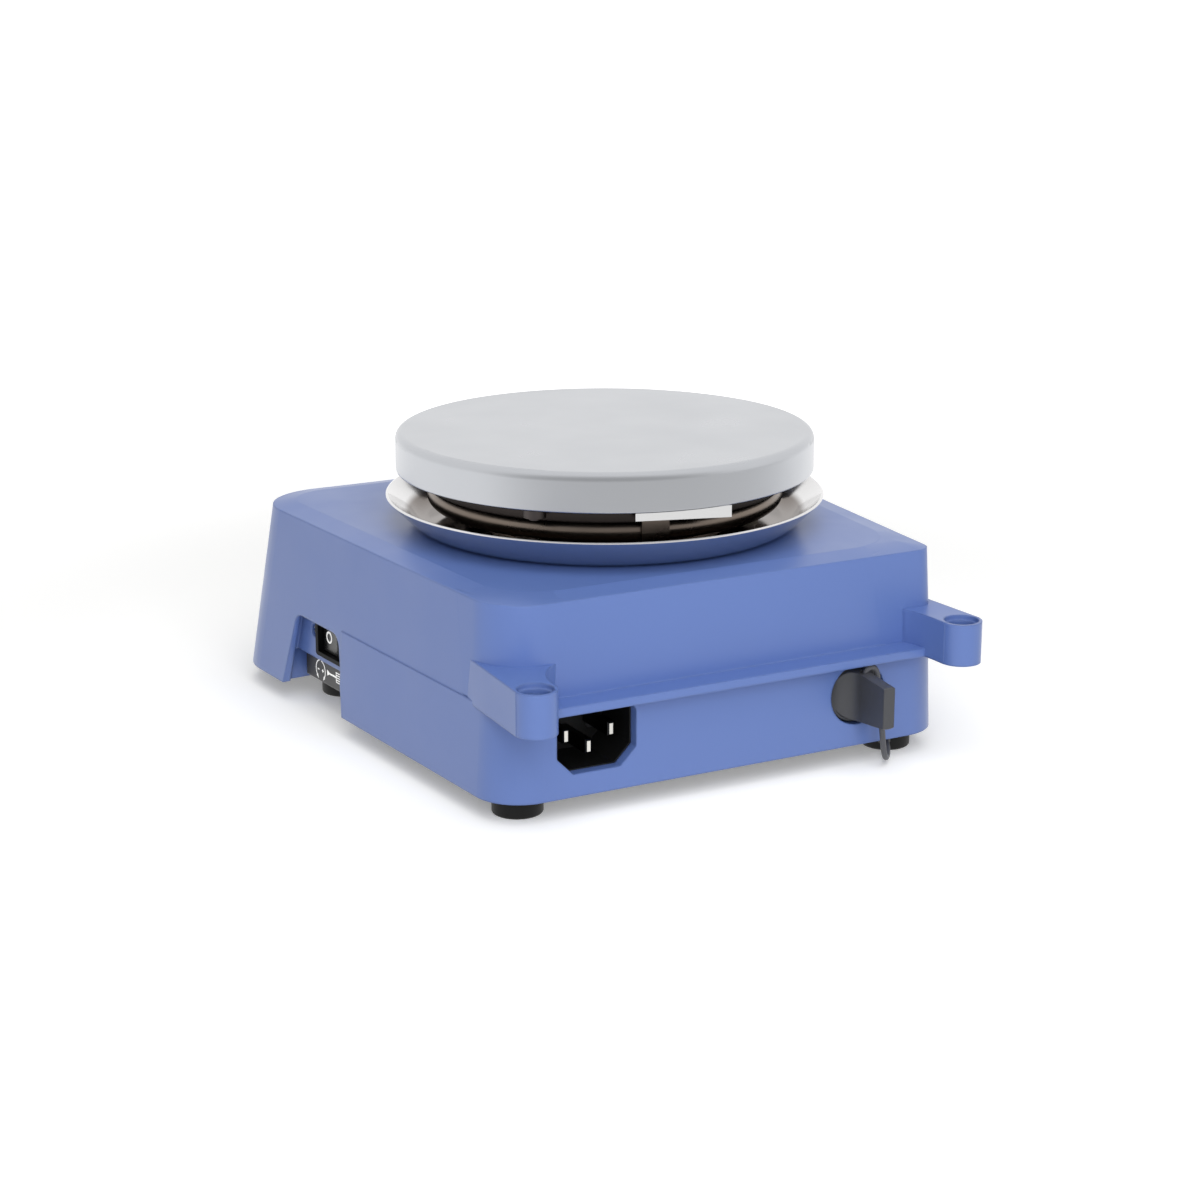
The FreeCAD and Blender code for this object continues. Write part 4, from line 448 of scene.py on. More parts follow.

# Polished stainless: a sharp mirror with a bright rim, and painted shade inside.
stainless, tree, shader, tint = finish("polished_stainless", "D9D8D8", (0.06, 0.13),
                                       metallic=1.0, bumps=(0.8, 0.0012), vary=0.03,
                                       edge_mm=0.15)
inside = add_node(tree, "MapRange", {"Value": axis_distance(tree),
                                     "From Min": PAINTED_SHADE_UP_TO * MM,
                                     "From Max": BRIGHT_FROM * MM,
                                     "To Min": 1.0, "To Max": 0.0},
                  interpolation_type="SMOOTHSTEP")
surface = add_node(tree, "NewGeometry")
normal = add_node(tree, "SeparateXYZ", {0: surface.outputs["Normal"]})
upward = add_node(tree, "Math", {0: normal.outputs["Z"], 1: 0.0}, operation="GREATER_THAN")
painted_shade_mask = add_node(tree, "Math", {0: inside.outputs[0], 1: upward.outputs[0]},
                   operation="MULTIPLY")
# Up-facing faces inside the rim are painted dim brown-grey: painted shade from the plate above.
painted_shade_inside = add_node(tree, "MixRGB", {"Fac": painted_shade_mask.outputs[0], "Color1": tint.outputs[0],
                                    "Color2": linear("6B625C")})
tree.links.new(painted_shade_inside.outputs[0], shader.inputs["Base Color"])
dress(stainless, "drip_bowl")
bowl_low, bowl_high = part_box("drip_bowl")
print("bright rim of the bowl in mm:",
      round((bowl_high[0] - bowl_low[0]) / 2 / MM - BRIGHT_FROM, 1))

# %% [markdown]
# ## Metals under the plate
# Parts next to the heater have turned brown-grey from heat. A wide spread of the colour noise
# gives them their cloudy tarnish. Posts and sensor are painted darker still, as painted shade
# in the gap.

# %% Metals under the plate
# Bent stainless strip: one flat bright bar, because it mirrors the white studio.
strip_steel, *_ = finish("bent_stainless_strip", "EDEDED", (0.10, 0.18), metallic=1.0,
                         bumps=(0.8, 0.001), vary=0.03, edge_mm=0.15)
dress(strip_steel, "angle_strip")

# Heat-stained steel: soft long highlights on a brown-grey, cloudy ground.
heater_steel, *_ = finish("heat_stained_steel", "85796F", (0.24, 0.36), metallic=1.0,
                          bumps=(0.5, 0.003), vary=0.35, edge_mm=0.15)
dress(heater_steel, "heater_tube", "heater_clamps", "magnet_cover")

# Steel with painted shade: darker still, so posts and sensor nearly vanish in the gap.
dark_steel, *_ = finish("painted_shade_steel", "5A5452", (0.25, 0.42), metallic=1.0,
                        bumps=(0.4, 0.003), vary=0.3, edge_mm=0.15)
dress(dark_steel, "plate_posts", "temperature_sensor", "earth_screw")

# Fired steatite: an unglazed cream-white ceramic with a dull, dry skin.
steatite, *_ = finish("fired_steatite", "DCD6C8", (0.45, 0.6), bumps=(0.4, 0.006), vary=0.08)
dress(steatite, "insulating_washers", "thermal_cutout")
print("metals under the plate:", strip_steel.name, heater_steel.name, dark_steel.name)

# %% [markdown]
# ## Screws and the magnet drive
# Bought-in steel parts are zinc plated, a blue-white that is half dull. The motor's iron is
# a stack of sheets: its grain is stretched sideways, so that fine level lines show them.

# %% Drive and screws
# Zinc-plated steel: a cool grey whose highlights are soft.
zinc_steel, *_ = finish("zinc_plated_steel", "B9BABB", (0.28, 0.40), metallic=1.0,
                        bumps=(0.3, 0.002), vary=0.08, edge_mm=0.15)
dress(zinc_steel, "foot_screws", "plate_screws", "motor_screws", "board_screws",
      "control_nuts", "motor_case", "motor_bracket", "motor_bearings", "motor_shaft",
      "limit_adjuster", "heating_spindle", "stirring_spindle")

# Electrical steel: dull dark metal with the lines of its sheets.
dark_iron, *_ = finish("electrical_steel", "55565A", (0.42, 0.55), metallic=1.0,
                       bumps=(0.5, 0.01), vary=0.1, stretch=(0.1, 0.1, 1))
dress(dark_iron, "motor_stator", "motor_rotor", "magnet_yoke")

# Sintered ferrite: a dense, matt, black-grey ceramic with a little grain.
ferrite, *_ = finish("sintered_ferrite", "38383A", (0.5, 0.65), bumps=(0.3, 0.01), vary=0.12)
dress(ferrite, "drive_magnet_north", "drive_magnet_south")

# Nickel-plated brass: a warm soft shine on the contacts.
nickel, *_ = finish("nickel_plated_brass", "D8D5CE", (0.22, 0.32), metallic=1.0,
                    bumps=(0.3, 0.001), vary=0.04, edge_mm=0.1)
dress(nickel, "socket_contacts", "plug_pins", "switch_terminals")
print("drive finishes:", zinc_steel.name, dark_iron.name, ferrite.name, nickel.name)

# %% [markdown]
# ## Pins of the mains inlet
# The pins stand in a black hole. Only their tips face the light, so they show as three small
# bright bars. Their sides are painted dark grey, a painted shade for the black walls that
# they mirror. The true normal tells the tips from the sides.

# %% Pin finish
# Nickel: bright at the tips, with painted shade along the sides.
pin_nickel, tree, shader, tint = finish("nickel_pins_painted_shade", "E4E2DC", (0.25, 0.35),
                                        metallic=1.0, bumps=(0.3, 0.001), edge_mm=0.1)
surface = add_node(tree, "NewGeometry")
normal = add_node(tree, "SeparateXYZ", {0: surface.outputs["True Normal"]})
side_of_pin = add_node(tree, "Math", {0: normal.outputs["Y"], 1: 0.9}, operation="LESS_THAN")
# Faces that do not face the camera's way are painted dark grey: painted shade on the pin sides.
painted_shade_sides = add_node(tree, "MixRGB", {"Fac": side_of_pin.outputs[0], "Color1": tint.outputs[0],
                                   "Color2": linear("2A2A2B")})
tree.links.new(painted_shade_sides.outputs[0], shader.inputs["Base Color"])
dress(pin_nickel, "inlet_pins")
print("pin finish:", pin_nickel.name)

# %% [markdown]
# ## Black plastics
# Inlet, socket, switch and legend plate are black mouldings, but no two blacks look alike:
# polyamide has a broad grey sheen, the switch is nearly matt, and fingers polish the rocker.

# %% Black plastics
# Glass-filled polyamide: black with a broad, soft grey sheen.
black_plastic, *_ = finish("moulded_black_polyamide", "121212", (0.42, 0.55), vary=0.15)
dress(black_plastic, "mains_inlet", "thermometer_socket", "limiter_pot", "heating_control",
      "stirring_control", "capacitor", "relay", "triac", "transformer")

# Matt switch frame: the deepest black, which hides in the shade of the niche.
switch_black, *_ = finish("moulded_black_switch", "070708", (0.5, 0.6), vary=0.1,
                          Specular_IOR_Level=0.12)
dress(switch_black, "switch_body")

# Printed plate: a flat satin black that reads as dark grey in the light.
legend_black, *_ = finish("printed_black_plate", "1E1E20", (0.40, 0.5), bumps=(0.25, 0.003))
dress(legend_black, "legend_plate")

# Rocker: a smooth black that fingers have polished, with small clear highlights.
rocker_black, *_ = finish("polished_black_rocker", "161617", (0.22, 0.32), bumps=(1.5, 0.001))
dress(rocker_black, "power_rocker")

# Knobs: satin black-grey with a fine moulded grain for grip.
knob_black, *_ = finish("moulded_black_knob", "1B1C1F", (0.36, 0.46), bumps=(0.3, 0.005),
                        edge_mm=0.35)
dress(knob_black, "heating_knob", "stirring_knob")
print("black plastics:", black_plastic.name, switch_black.name, rocker_black.name)

# %% [markdown]
# ## Dark grey plug, tether and rubber feet
# The dummy plug and its tether are a softer, lighter plastic than the black parts. The feet
# are rubber: matt, a little dusty, and so dark that only their edge shows.

# %% Plug, tether and feet
# Soft grey plastic: a matt dark grey whose faces differ clearly in the light.
plug_grey, *_ = finish("moulded_grey_plug", "3E3F43", (0.40, 0.5), bumps=(0.35, 0.005),
                       vary=0.1, edge_mm=0.4)
dress(plug_grey, "dummy_plug")

# The tether's skin: the same kind of plastic, a touch paler and more matt.
tether_grey, *_ = finish("soft_grey_tether", "4A4B50", (0.45, 0.55), bumps=(0.3, 0.003))
tether_mesh.materials.clear()
tether_mesh.materials.append(tether_grey)

# Moulded rubber: nearly no highlight, with a cloudy, dusty black.
rubber, *_ = finish("moulded_rubber", "0B0B0B", (0.55, 0.68), bumps=(0.4, 0.01), vary=0.2,
                    edge_mm=0.4, Specular_IOR_Level=0.25)
dress(rubber, "foot_rear_right", "foot_rear_left", "foot_front_right", "foot_front_left")
print("soft parts:", plug_grey.name, tether_grey.name, rubber.name)

# %% [markdown]
# ## Base, lenses and electronics
# The base is a powder-coated sheet with the slight orange peel of that coating. The lenses
# are amber and a little translucent. The board inside shows only through the vents.

# %% Base, lenses and electronics
# Powder coat: dark grey, matt, with shallow dimples 0.6 mm apart.
coated_sheet, *_ = finish("powder_coated_sheet", "2E3034", (0.48, 0.6), bumps=(0.6, 0.02))
dress(coated_sheet, "base_plate")

# Amber lens: a glossy drop of colour that lets a little light in.
lens_amber, *_ = finish("amber_lens", "E09A20", (0.08, 0.16), bumps=(2.0, 0.001),
                        Transmission_Weight=0.4)
dress(lens_amber, "indicator_lenses")

# Solder mask: a thin green film, smooth, with a soft shine.
board_green, *_ = finish("solder_mask_green", "1D5A32", (0.3, 0.42), bumps=(1.0, 0.005))
dress(board_green, "control_board")

# Natural nylon: milky off-white, as posts for boards are.
nylon, *_ = finish("natural_nylon", "D9D6CC", (0.45, 0.55), bumps=(0.5, 0.005))
dress(nylon, "board_standoffs")

# Extruded aluminium: grey metal with long draw lines down its height.
extruded, *_ = finish("extruded_aluminium", "B4B6BA", (0.35, 0.45), metallic=1.0,
                      bumps=(0.3, 0.004), stretch=(1, 1, 0.05))
dress(extruded, "heat_sink")
print("plain finishes:", coated_sheet.name, lens_amber.name, board_green.name)

# %% [markdown]
# ## White print
# The marks are screen-printed in thick white ink. Those in the niche lie in shade, where a
# real studio puts a small card to fill them in; a weak glow stands in for that card.

# %% Print finish
CARD_GLOW = 0.35

# White ink: a flat, matt, even white that stays legible in the shade.
ink_white, _, shader, _ = finish("white_print", "F4F4F2", (0.5, 0.6), bumps=(0.2, 0.002),
                                 vary=0.03)
shader.inputs["Emission Color"].default_value = linear("F4F4F2")
shader.inputs["Emission Strength"].default_value = CARD_GLOW
print("print finish:", ink_white.name)

# %% [markdown]
# ## Pieces that the CAD leaves to this script
# Small pieces could be modelled by hand in Edit Mode. Here they are built from short lists of
# points with bmesh, so that they follow the housing's own sizes. One helper turns a bmesh
# into an object that rides on a body and wears a finish.

# %% Piece helper
SHARP_ANGLE = math.radians(28)


def piece(name, mesh, material, body):
    """Finish a bmesh as an object: curved walls are shaded smooth, real edges stay sharp."""
    bmesh.ops.recalc_face_normals(mesh, faces=mesh.faces)
    for face in mesh.faces:
        face.smooth = True
    for edge in mesh.edges:
        edge.smooth = edge.is_manifold and edge.calc_face_angle() < SHARP_ANGLE
    data = bpy.data.meshes.new(name)
    mesh.to_mesh(data)
    mesh.free()
    data.materials.append(material)
    made = add_object(name, data)
    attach(made, body)
    return made


print("edges stay sharp from degrees:", round(math.degrees(SHARP_ANGLE)))

# %% [markdown]
# ## Skins over rows of points
# Most of these pieces are a skin over a few outlines: walls run from each row of points to
# the next, and the first and the last row are closed by a face.

# %% Skin helpers
def skin(mesh, rows):
    """Walls of four-sided faces from each closed row of vertices to the next."""
    for row, after in zip(rows, rows[1:]):
        for index in range(len(row)):
            beside = (index + 1) % len(row)
            mesh.faces.new((row[index], row[beside], after[beside], after[index]))


def capped_skin(mesh, rows):
    """A closed solid: the rows' walls, and one face over each end."""
    skin(mesh, rows)
    mesh.faces.new(rows[0][::-1])
    mesh.faces.new(rows[-1])


def prism(mesh, lower, upper):
    """A closed solid between two outlines with as many points each."""
    capped_skin(mesh, [[mesh.verts.new(point) for point in outline]
                       for outline in (lower, upper)])


# %% [markdown]
# ## Webs of the ears
# On the real housing each ear is no block: its outer wall runs flush into the side wall, and
# its inner wall flares in a hollow curve into the rear wall. Both webs are prisms whose
# outline follows the ear, leaves the rod hole free and ends inside the walls.

# %% Outline of an ear web
# The housing's side plane as in the CAD: half width, narrowing per mm along y and z, foot
SIDE_HALF, SIDE_TAPER, SIDE_DRAFT, BOTTOM_Z = 78.35, 0.0758, 0.0514, 6.5
REAR_WALL_Y = 71.8
EAR_X, EAR_Y, EAR_LOW, EAR_HIGH = 68.27, 88.76, 31.6, 43.9
EAR_OUTER_X, EAR_INNER_X, EAR_TIP_Y = 74.21, 62.22, 89.2
EAR_FLARE = [(62.2, 86.5), (61.9, 84.0), (61.3, 81.5), (60.4, 79.2), (59.2, 77.0),
             (57.7, 75.0), (55.9, 73.3), (53.6, REAR_WALL_Y)]
RIGHT_FLARE, LEFT_FLARE = 1.0, 0.3
HOLE_RADIUS = 5.08
WEB_START = 57.0
BURIED_LENGTH, BURIED_SIDE, BURIED_REAR = 8.0, 1.6, 1.5
# Added forms stand this far off the moulded wall, so that no two faces coincide
PROUD = 0.03


def side_x(y, z):
    """Half width of the housing's side plane."""
    return SIDE_HALF - SIDE_TAPER * y - SIDE_DRAFT * (z - BOTTOM_Z)


def ear_outline(z, flare):
    """The web's outline at height z, for the +X side, in millimetres; flare widens its root."""
    start_x = side_x(WEB_START, z)
    slope = (EAR_OUTER_X - start_x) / (EAR_TIP_Y - WEB_START)
    buried_y = WEB_START - BURIED_LENGTH
    outline = [(start_x - BURIED_LENGTH * slope, buried_y), (EAR_OUTER_X, EAR_TIP_Y),
               (EAR_X + HOLE_RADIUS, EAR_TIP_Y)]
    for degrees in range(-5, -176, -10):
        turn = math.radians(degrees)
        outline.append((EAR_X + HOLE_RADIUS * math.cos(turn),
                        EAR_Y + HOLE_RADIUS * math.sin(turn)))
    outline += [(EAR_X - HOLE_RADIUS, EAR_TIP_Y), (EAR_INNER_X, EAR_TIP_Y)]
    top_x = EAR_FLARE[0][0]
    outline += [(top_x - (top_x - x) * flare, y) for x, y in EAR_FLARE]
    outline += [(outline[-1][0], REAR_WALL_Y - BURIED_REAR),
                (side_x(buried_y, z) - BURIED_SIDE, buried_y)]
    return outline


print("points in a web's outline:", len(ear_outline(EAR_LOW, RIGHT_FLARE)))

# %% Ear webs
for side_name, sign, flare in (("right", 1, RIGHT_FLARE), ("left", -1, LEFT_FLARE)):
    mesh = bmesh.new()
    sections = [[from_axis(x * sign, y, z) for x, y in ear_outline(z, flare)]
                for z in (EAR_LOW - PROUD, EAR_HIGH + PROUD)]
    prism(mesh, *sections)
    web = piece(f"ear_web_{side_name}", mesh, abs_blue, "stirrer")
print("ear webs reach from y", round(web.bound_box[0][1] / MM, 1))

# %% [markdown]
# ## Sharper rear corners
# In the photograph the two upper rear corners are tighter than in the CAD model. A corner
# piece lies on the moulded wall, flush with the side, the rear and the bevel, and fills the
# corner out. Its inner side stays within the thickness of the wall, and its ends are sunk in
# it, so that no seam shows.

# %% Outline of a corner piece
REAR_FACE, REAR_DRAFT = 72.9, 0.030
CAD_RADIUS_LOW, CAD_RADIUS_HIGH = 13.6, 25.0
RIGHT_RADIUS, LEFT_RADIUS, SMALLEST_RADIUS = 14.0, 5.0, 0.6
CORNER_LOW_Z, SHOULDER_Z, DECK_Z, BEVEL_WIDTH = 33.0, 60.8, 62.0, 7.3
CORNER_DEPTH, CROWN_DEPTH = 1.2, 4.0
CORNER_REACH = 28.0
END_SINK, CROWN_SINK = 0.09, 0.15
ARC_STEPS = 12


def corner_arc(radius, inset, sink=0.0):
    """Distances from the side and from the rear along a rounded corner; its ends sink in."""
    line = [(inset + sink, CORNER_REACH)]
    bend = max(radius - inset, SMALLEST_RADIUS)
    for index in range(ARC_STEPS + 1):
        turn = math.radians(90 * index / ARC_STEPS)
        line.append((inset + bend * (1 - math.cos(turn)), inset + bend * (1 - math.sin(turn))))
    return line + [(CORNER_REACH, inset + sink)]


def corner_section(z, radius, inset, depth, sign):
    """One closed outline of the corner piece at height z."""
    height = min(z, SHOULDER_Z)
    share = (height - BOTTOM_Z) / (SHOULDER_Z - BOTTOM_Z)
    cad_radius = CAD_RADIUS_LOW + (CAD_RADIUS_HIGH - CAD_RADIUS_LOW) * share
    outer = corner_arc(radius, inset - PROUD, END_SINK)
    inner = corner_arc(cad_radius, depth)
    section = []
    for from_side, from_rear in outer + inner[::-1]:
        y = REAR_FACE - REAR_DRAFT * (height - BOTTOM_Z) - from_rear
        section.append(from_axis((side_x(y, height) - from_side) * sign, y, z))
    return section


print("points along a corner:", len(corner_arc(RIGHT_RADIUS, 0)))

# %% Corner pieces
for side_name, sign, radius in (("right", 1, RIGHT_RADIUS), ("left", -1, LEFT_RADIUS)):
    mesh = bmesh.new()
    sections = [corner_section(CORNER_LOW_Z, radius, 0, CORNER_DEPTH, sign),
                corner_section(SHOULDER_Z, radius, 0, CORNER_DEPTH, sign),
                corner_section(DECK_Z + PROUD, radius, BEVEL_WIDTH,
                               BEVEL_WIDTH + CROWN_DEPTH, sign)]
    crown = sections[-1]
    half = len(crown) // 2
    for index in (0, *range(half - 1, len(crown))):
        crown[index].z = (DECK_Z - CROWN_SINK) * MM
    rows = [[mesh.verts.new(point) for point in section] for section in sections]
    skin(mesh, rows)
    for row in (rows[0], rows[-1]):
        for index in range(half - 1):
            mesh.faces.new((row[index], row[index + 1], row[-2 - index], row[-1 - index]))
    corner_piece = piece(f"rear_corner_{side_name}", mesh, abs_blue, "stirrer")
    print("faces of the", side_name, "corner:", len(corner_piece.data.polygons))

# %% [markdown]
# ## Threads in the rod holes
# Each rod hole has an M10 thread for a stand rod. In the CAD it is a plain bore at the core
# radius. A thread could be cut with a Screw modifier and a boolean. Here a fine helical ridge
# of 1.5 mm pitch stands a little out of the bore, which shows as well and is quicker.

# %% Threads
THREAD_PITCH = 1.5
THREAD_STEPS = 24
CORE_RADIUS = 4.25
RIDGE_FOOT, RIDGE_HEIGHT, RIDGE_HALF = 0.05, 0.2, 0.5
CLEAR_BELOW, CLEAR_ABOVE = 0.8, 1.9


def thread_ridge(x, y, low, high):
    """A helix with a triangular section along a bore, in millimetres."""
    mesh = bmesh.new()
    turns = (high - low) / THREAD_PITCH
    profile = ((CORE_RADIUS + RIDGE_FOOT, -RIDGE_HALF), (CORE_RADIUS - RIDGE_HEIGHT, 0.0),
               (CORE_RADIUS + RIDGE_FOOT, RIDGE_HALF))
    rows = []
    for index in range(int(turns * THREAD_STEPS) + 1):
        angle = 2 * math.pi * index / THREAD_STEPS
        middle = low + THREAD_PITCH * index / THREAD_STEPS
        rows.append([mesh.verts.new(from_axis(x + radius * math.cos(angle),
                                              y + radius * math.sin(angle), middle + up))
                     for radius, up in profile])
    capped_skin(mesh, rows)
    return mesh


for side_name, sign in (("right", 1), ("left", -1)):
    ridge = thread_ridge(EAR_X * sign, EAR_Y, EAR_LOW + CLEAR_BELOW, EAR_HIGH - CLEAR_ABOVE)
    piece(f"rod_thread_{side_name}", ridge, abs_blue, "stirrer")
print("turns of each thread:",
      round((EAR_HIGH - CLEAR_ABOVE - EAR_LOW - CLEAR_BELOW) / THREAD_PITCH, 1))

# %% [markdown]
# ## Printed marks
# Marks are thin raised ink. They could be a picture laid over the surface, but that blurs
# close up. Here a stroke is a line with a width, mitred at its corners, and a patch is a
# filled outline. Both are drawn in the plane of the surface they lie on.

# %% Sides of a stroke
SHARPEST_MITRE = 0.4


def stroke_sides(points, width, closed):
    """Points half a width to the left and to the right of a line."""
    left, right = [], []
    count = len(points)
    for index, here in enumerate(points):
        directions = []
        if closed or index > 0:
            directions.append((here - points[index - 1]).normalized())
        if closed or index < count - 1:
            directions.append((points[(index + 1) % count] - here).normalized())
        along = (directions[0] + directions[-1]).normalized()
        across = Vector((-along.y, along.x))
        straight = Vector((-directions[0].y, directions[0].x))
        reach = width / 2 / max(SHARPEST_MITRE, across.dot(straight))
        left.append(here + across * reach)
        right.append(here - across * reach)
    return left, right


print("two corners of a stroke:", *stroke_sides([Vector((0, 0)), Vector((1, 0))], 0.5, False))

# %% Ink on a plane
INK_BELOW, INK_ABOVE = -0.02 * MM, 0.05 * MM


def printed(name, strokes, patches, origin, right_way, up_way, body):
    """Ink on a plane: strokes are (points, width, closed), patches are outlines, in mm."""
    out_way = right_way.cross(up_way)
    mesh = bmesh.new()

    def on_plane(point, lift):
        return origin + (right_way * point[0] + up_way * point[1]) * MM + out_way * lift

    for points, width, closed in strokes:
        rows = []
        for left, right in zip(*stroke_sides([Vector(point) for point in points], width,
                                             closed)):
            section = ((left, INK_BELOW), (right, INK_BELOW), (right, INK_ABOVE),
                       (left, INK_ABOVE))
            rows.append([mesh.verts.new(on_plane(*corner)) for corner in section])
        if closed:
            skin(mesh, rows + rows[:1])
        else:
            capped_skin(mesh, rows)
    for patch in patches:
        prism(mesh, [on_plane(point, INK_BELOW) for point in patch],
              [on_plane(point, INK_ABOVE) for point in patch])
    return piece(name, mesh, ink_white, body)


print("ink stands proud in mm:", round(INK_ABOVE / MM, 2))

# %% [markdown]
# ## Marks on the rocker
# The rocker carries an O on the half that lies low when the power is off, and a bar on the
# other half. Each half slopes towards the middle, so each mark lies in the plane of its half
# and tilts with the rocker.

# %% Rocker marks
SIDE_TURN = math.atan(SIDE_TAPER)
OUTWARD = Vector((math.cos(SIDE_TURN), math.sin(SIDE_TURN), 0))
ALONG = Vector((-math.sin(SIDE_TURN), math.cos(SIDE_TURN), 0))
UP = Vector((0, 0, 1))
SIDE_FACE = SIDE_HALF * math.cos(SIDE_TURN)
ROCKER_DEPTH, ROCKER_ALONG, ROCKER_Z = 7.5, -36.0, 26.0
ROCKER_TILT = math.radians(8)
FACE_MIDDLE, FACE_RISE, FACE_HALF = 2.2, 1.2, 9.2
MARK_AWAY = 5.3


def arc(centre_x, centre_y, radius, start, end, steps=24):
    """Points of an arc, in degrees."""
    points = []
    for index in range(steps + 1):
        turn = math.radians(start + (end - start) * index / steps)
        points.append((centre_x + radius * math.cos(turn), centre_y + radius * math.sin(turn)))
    return points


def on_side(depth, along, z):
    """A point below the side wall's face, in metres in the row frame."""
    spot = OUTWARD * (SIDE_FACE - depth) + ALONG * along + UP * z
    return from_axis(*spot)


off_stroke = (arc(0, 0, 1.62, 0, 345, 23), 0.6, True)
on_stroke = ([(0, -1.6), (0, 1.6)], 0.5, False)
face_slope = math.atan(FACE_RISE / FACE_HALF)
along_rocker = ALONG * math.cos(ROCKER_TILT) + OUTWARD * math.sin(ROCKER_TILT)
out_rocker = OUTWARD * math.cos(ROCKER_TILT) - ALONG * math.sin(ROCKER_TILT)
pivot = on_side(ROCKER_DEPTH, ROCKER_ALONG, ROCKER_Z)
for mark, way, stroke in (("off", -1, off_stroke), ("on", 1, on_stroke)):
    lift = FACE_MIDDLE + MARK_AWAY * FACE_RISE / FACE_HALF
    spot = pivot + (along_rocker * way * MARK_AWAY + out_rocker * lift) * MM
    right_way = along_rocker * math.cos(face_slope) + out_rocker * way * math.sin(face_slope)
    printed(f"rocker_{mark}_mark", [stroke], [], spot, right_way.normalized(), UP,
            "power_rocker")
print("slope of the rocker's halves in degrees:", round(math.degrees(face_slope), 1))

# %% [markdown]
# ## Legend of the limit adjuster
# The legend plate below the switch says how the limit adjuster is turned: two turning
# arrows round a minus and a plus, and a screwdriver that points at them. All of it is plain
# strokes, with patches for the arrowheads and the screwdriver's tip.

# %% Limit legend
LEGEND_DEPTH = 5.7
TURN_X, TURN_Z, TURN_RADIUS = -48.9, 13.75, 3.1
TURN_ENDS = (218, -38)
SIGN_NEAR, SIGN_FAR, SIGN_MIDDLE, SIGN_HALF = 0.9, 2.0, 1.45, 0.55
FINE_LINE, SIGN_LINE, COLLAR_LINE, BLADE_LINE = 0.34, 0.36, 0.4, 0.55
DRIVER_Z, TIP_X, TIP_END_X, BLADE_X = 14.1, -44.4, -42.9, -43.0
HANDLE_X, HANDLE_END_X, COLLAR_X, COLLAR_HALF = -38.4, -31.5, -38.3, 1.67
TIP_WIDE, TIP_NARROW = 0.95, 0.3
GRIP_LINES = (-1.5, -0.75, 0.0, 0.75, 1.5)
ARROW_HALF, ARROW_LENGTH = 0.52, 1.4

strokes = [(arc(TURN_X, TURN_Z, TURN_RADIUS, 100, TURN_ENDS[0]), FINE_LINE, False),
           (arc(TURN_X, TURN_Z, TURN_RADIUS, 80, TURN_ENDS[1]), FINE_LINE, False)]
for sign in (-1, 1):
    ends = sorted((TURN_X + sign * SIGN_NEAR, TURN_X + sign * SIGN_FAR))
    strokes.append(([(x, TURN_Z) for x in ends], SIGN_LINE, False))
strokes += [([(TURN_X + SIGN_MIDDLE, TURN_Z - SIGN_HALF),
              (TURN_X + SIGN_MIDDLE, TURN_Z + SIGN_HALF)], SIGN_LINE, False),
            ([(BLADE_X, DRIVER_Z), (HANDLE_X, DRIVER_Z)], BLADE_LINE, False)]
for line in GRIP_LINES:
    strokes.append(([(HANDLE_X, DRIVER_Z + line), (HANDLE_END_X, DRIVER_Z + line)],
                    FINE_LINE, False))
strokes.append(([(COLLAR_X, DRIVER_Z - COLLAR_HALF), (COLLAR_X, DRIVER_Z + COLLAR_HALF)],
                COLLAR_LINE, False))
patches = [[(TIP_X, DRIVER_Z - TIP_WIDE), (TIP_END_X, DRIVER_Z - TIP_NARROW),
            (TIP_END_X, DRIVER_Z + TIP_NARROW), (TIP_X, DRIVER_Z + TIP_WIDE)]]
for turn in TURN_ENDS:
    away = math.radians(turn)
    out = Vector((math.cos(away), math.sin(away)))
    foot = Vector((TURN_X, TURN_Z)) + out * TURN_RADIUS
    ahead = Vector((-out.y, out.x)) * (1 if turn > 0 else -1)
    patches.append([foot + out * ARROW_HALF, foot + ahead * ARROW_LENGTH,
                    foot - out * ARROW_HALF])
printed("limit_legend", strokes, patches, on_side(LEGEND_DEPTH, 0, 0), ALONG, UP, "stirrer")
print("strokes and patches in the legend:", len(strokes), len(patches))

# %% [markdown]
# ## Marks on the front
# Around each knob a scale of eleven ticks shows the setting. It starts at the top and covers
# the knob's own turn, 270 degrees for heating and 300 for stirring. A white line fills the
# pointer groove of each knob, so that the setting can be read from across the bench.

# %% Front marks
FRONT_Y, FRONT_SLOPE = -99.0, 0.275
KNOB_X, KNOB_Z, KNOB_RADIUS = 38.0, 34.0, 14.0
KNOB_GAP, KNOB_HEIGHT, GROOVE_DEPTH = 0.6, 13.5, 0.5
TICKS, TICK_GAP, TICK_LONG, TICK_SHORT, TICK_WIDTH = 11, 1.4, 2.6, 1.7, 0.45
POINTER_FROM, POINTER_TO, POINTER_WIDTH = 2.7, 11.0, 0.8
HEATING_TURN, STIRRING_TURN = 270, 300

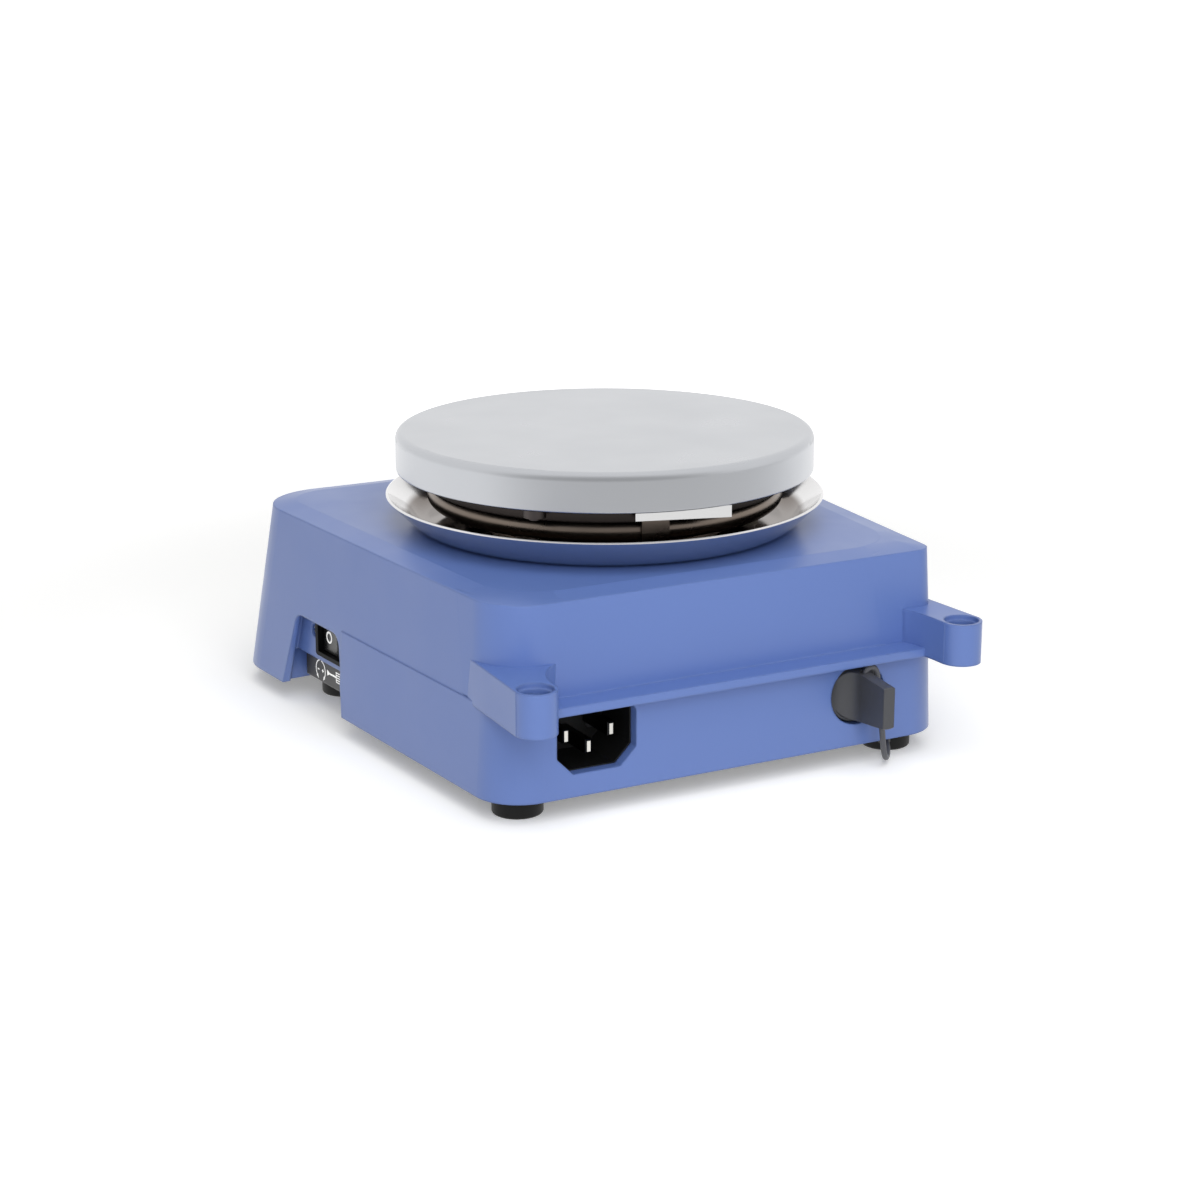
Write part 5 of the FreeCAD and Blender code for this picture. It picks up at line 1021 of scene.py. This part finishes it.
tilt = math.atan(FRONT_SLOPE)
front_right = Vector((1, 0, 0))
front_up = Vector((0, math.sin(tilt), math.cos(tilt)))
front_out = front_right.cross(front_up)
knob_y = FRONT_Y + FRONT_SLOPE * (KNOB_Z - BOTTOM_Z)
for side_name, sign, whole_turn in (("heating", -1, HEATING_TURN),
                                    ("stirring", 1, STIRRING_TURN)):
    centre = from_axis(KNOB_X * sign, knob_y, KNOB_Z)
    ticks = []
    for index in range(TICKS):
        turn = math.radians(90 - whole_turn / (TICKS - 1) * index)
        ray = Vector((math.cos(turn), math.sin(turn)))
        length = TICK_LONG if index % 5 == 0 else TICK_SHORT
        start = KNOB_RADIUS + TICK_GAP
        ticks.append(([ray * start, ray * (start + length)], TICK_WIDTH, False))
    printed(f"{side_name}_scale", ticks, [], centre, front_right, front_up, "stirrer")
    top = centre + front_out * (KNOB_GAP + KNOB_HEIGHT - GROOVE_DEPTH) * MM
    pointer = ([(0, POINTER_FROM), (0, POINTER_TO)], POINTER_WIDTH, False)
    printed(f"{side_name}_pointer", [pointer], [], top, front_right, front_up,
            f"{side_name}_control_knob")
print("front leans back by degrees:", round(math.degrees(tilt), 1))

# %% [markdown]
# ## Boss in the mains inlet
# Between the pins the inlet's floor carries a low round boss with a rounded edge, dark grey
# against the black. It is a short profile turned round its axis, as a lathe would do it.

# %% Inlet boss
BOSS_X, BOSS_Y, BOSS_Z = 35.0, 56.4, 20.2
BOSS_PROFILE = [(1.3, 0.72), (1.65, 0.5), (1.75, 0.2), (1.75, -0.2)]
BOSS_STEPS = 32

mesh = bmesh.new()
rows = []
for radius, lift in BOSS_PROFILE:
    turns = [2 * math.pi * index / BOSS_STEPS for index in range(BOSS_STEPS)]
    rows.append([mesh.verts.new(from_axis(BOSS_X + radius * math.cos(turn), BOSS_Y + lift,
                                          BOSS_Z + radius * math.sin(turn)))
                 for turn in turns])
capped_skin(mesh, rows)

# Moulded polyamide in dark grey: matt, and just pale enough to part from the black floor.
boss_grey, *_ = finish("moulded_grey_boss", "3A3B3E", (0.4, 0.5), vary=0.1)
piece("inlet_boss", mesh, boss_grey, "stirrer")
print("boss across in mm:", 2 * BOSS_PROFILE[-1][0])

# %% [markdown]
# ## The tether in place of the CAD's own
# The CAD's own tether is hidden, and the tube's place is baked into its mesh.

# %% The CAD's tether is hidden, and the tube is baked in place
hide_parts("plug_tether")
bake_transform(tether)
print("tether points:", len(tether_line))
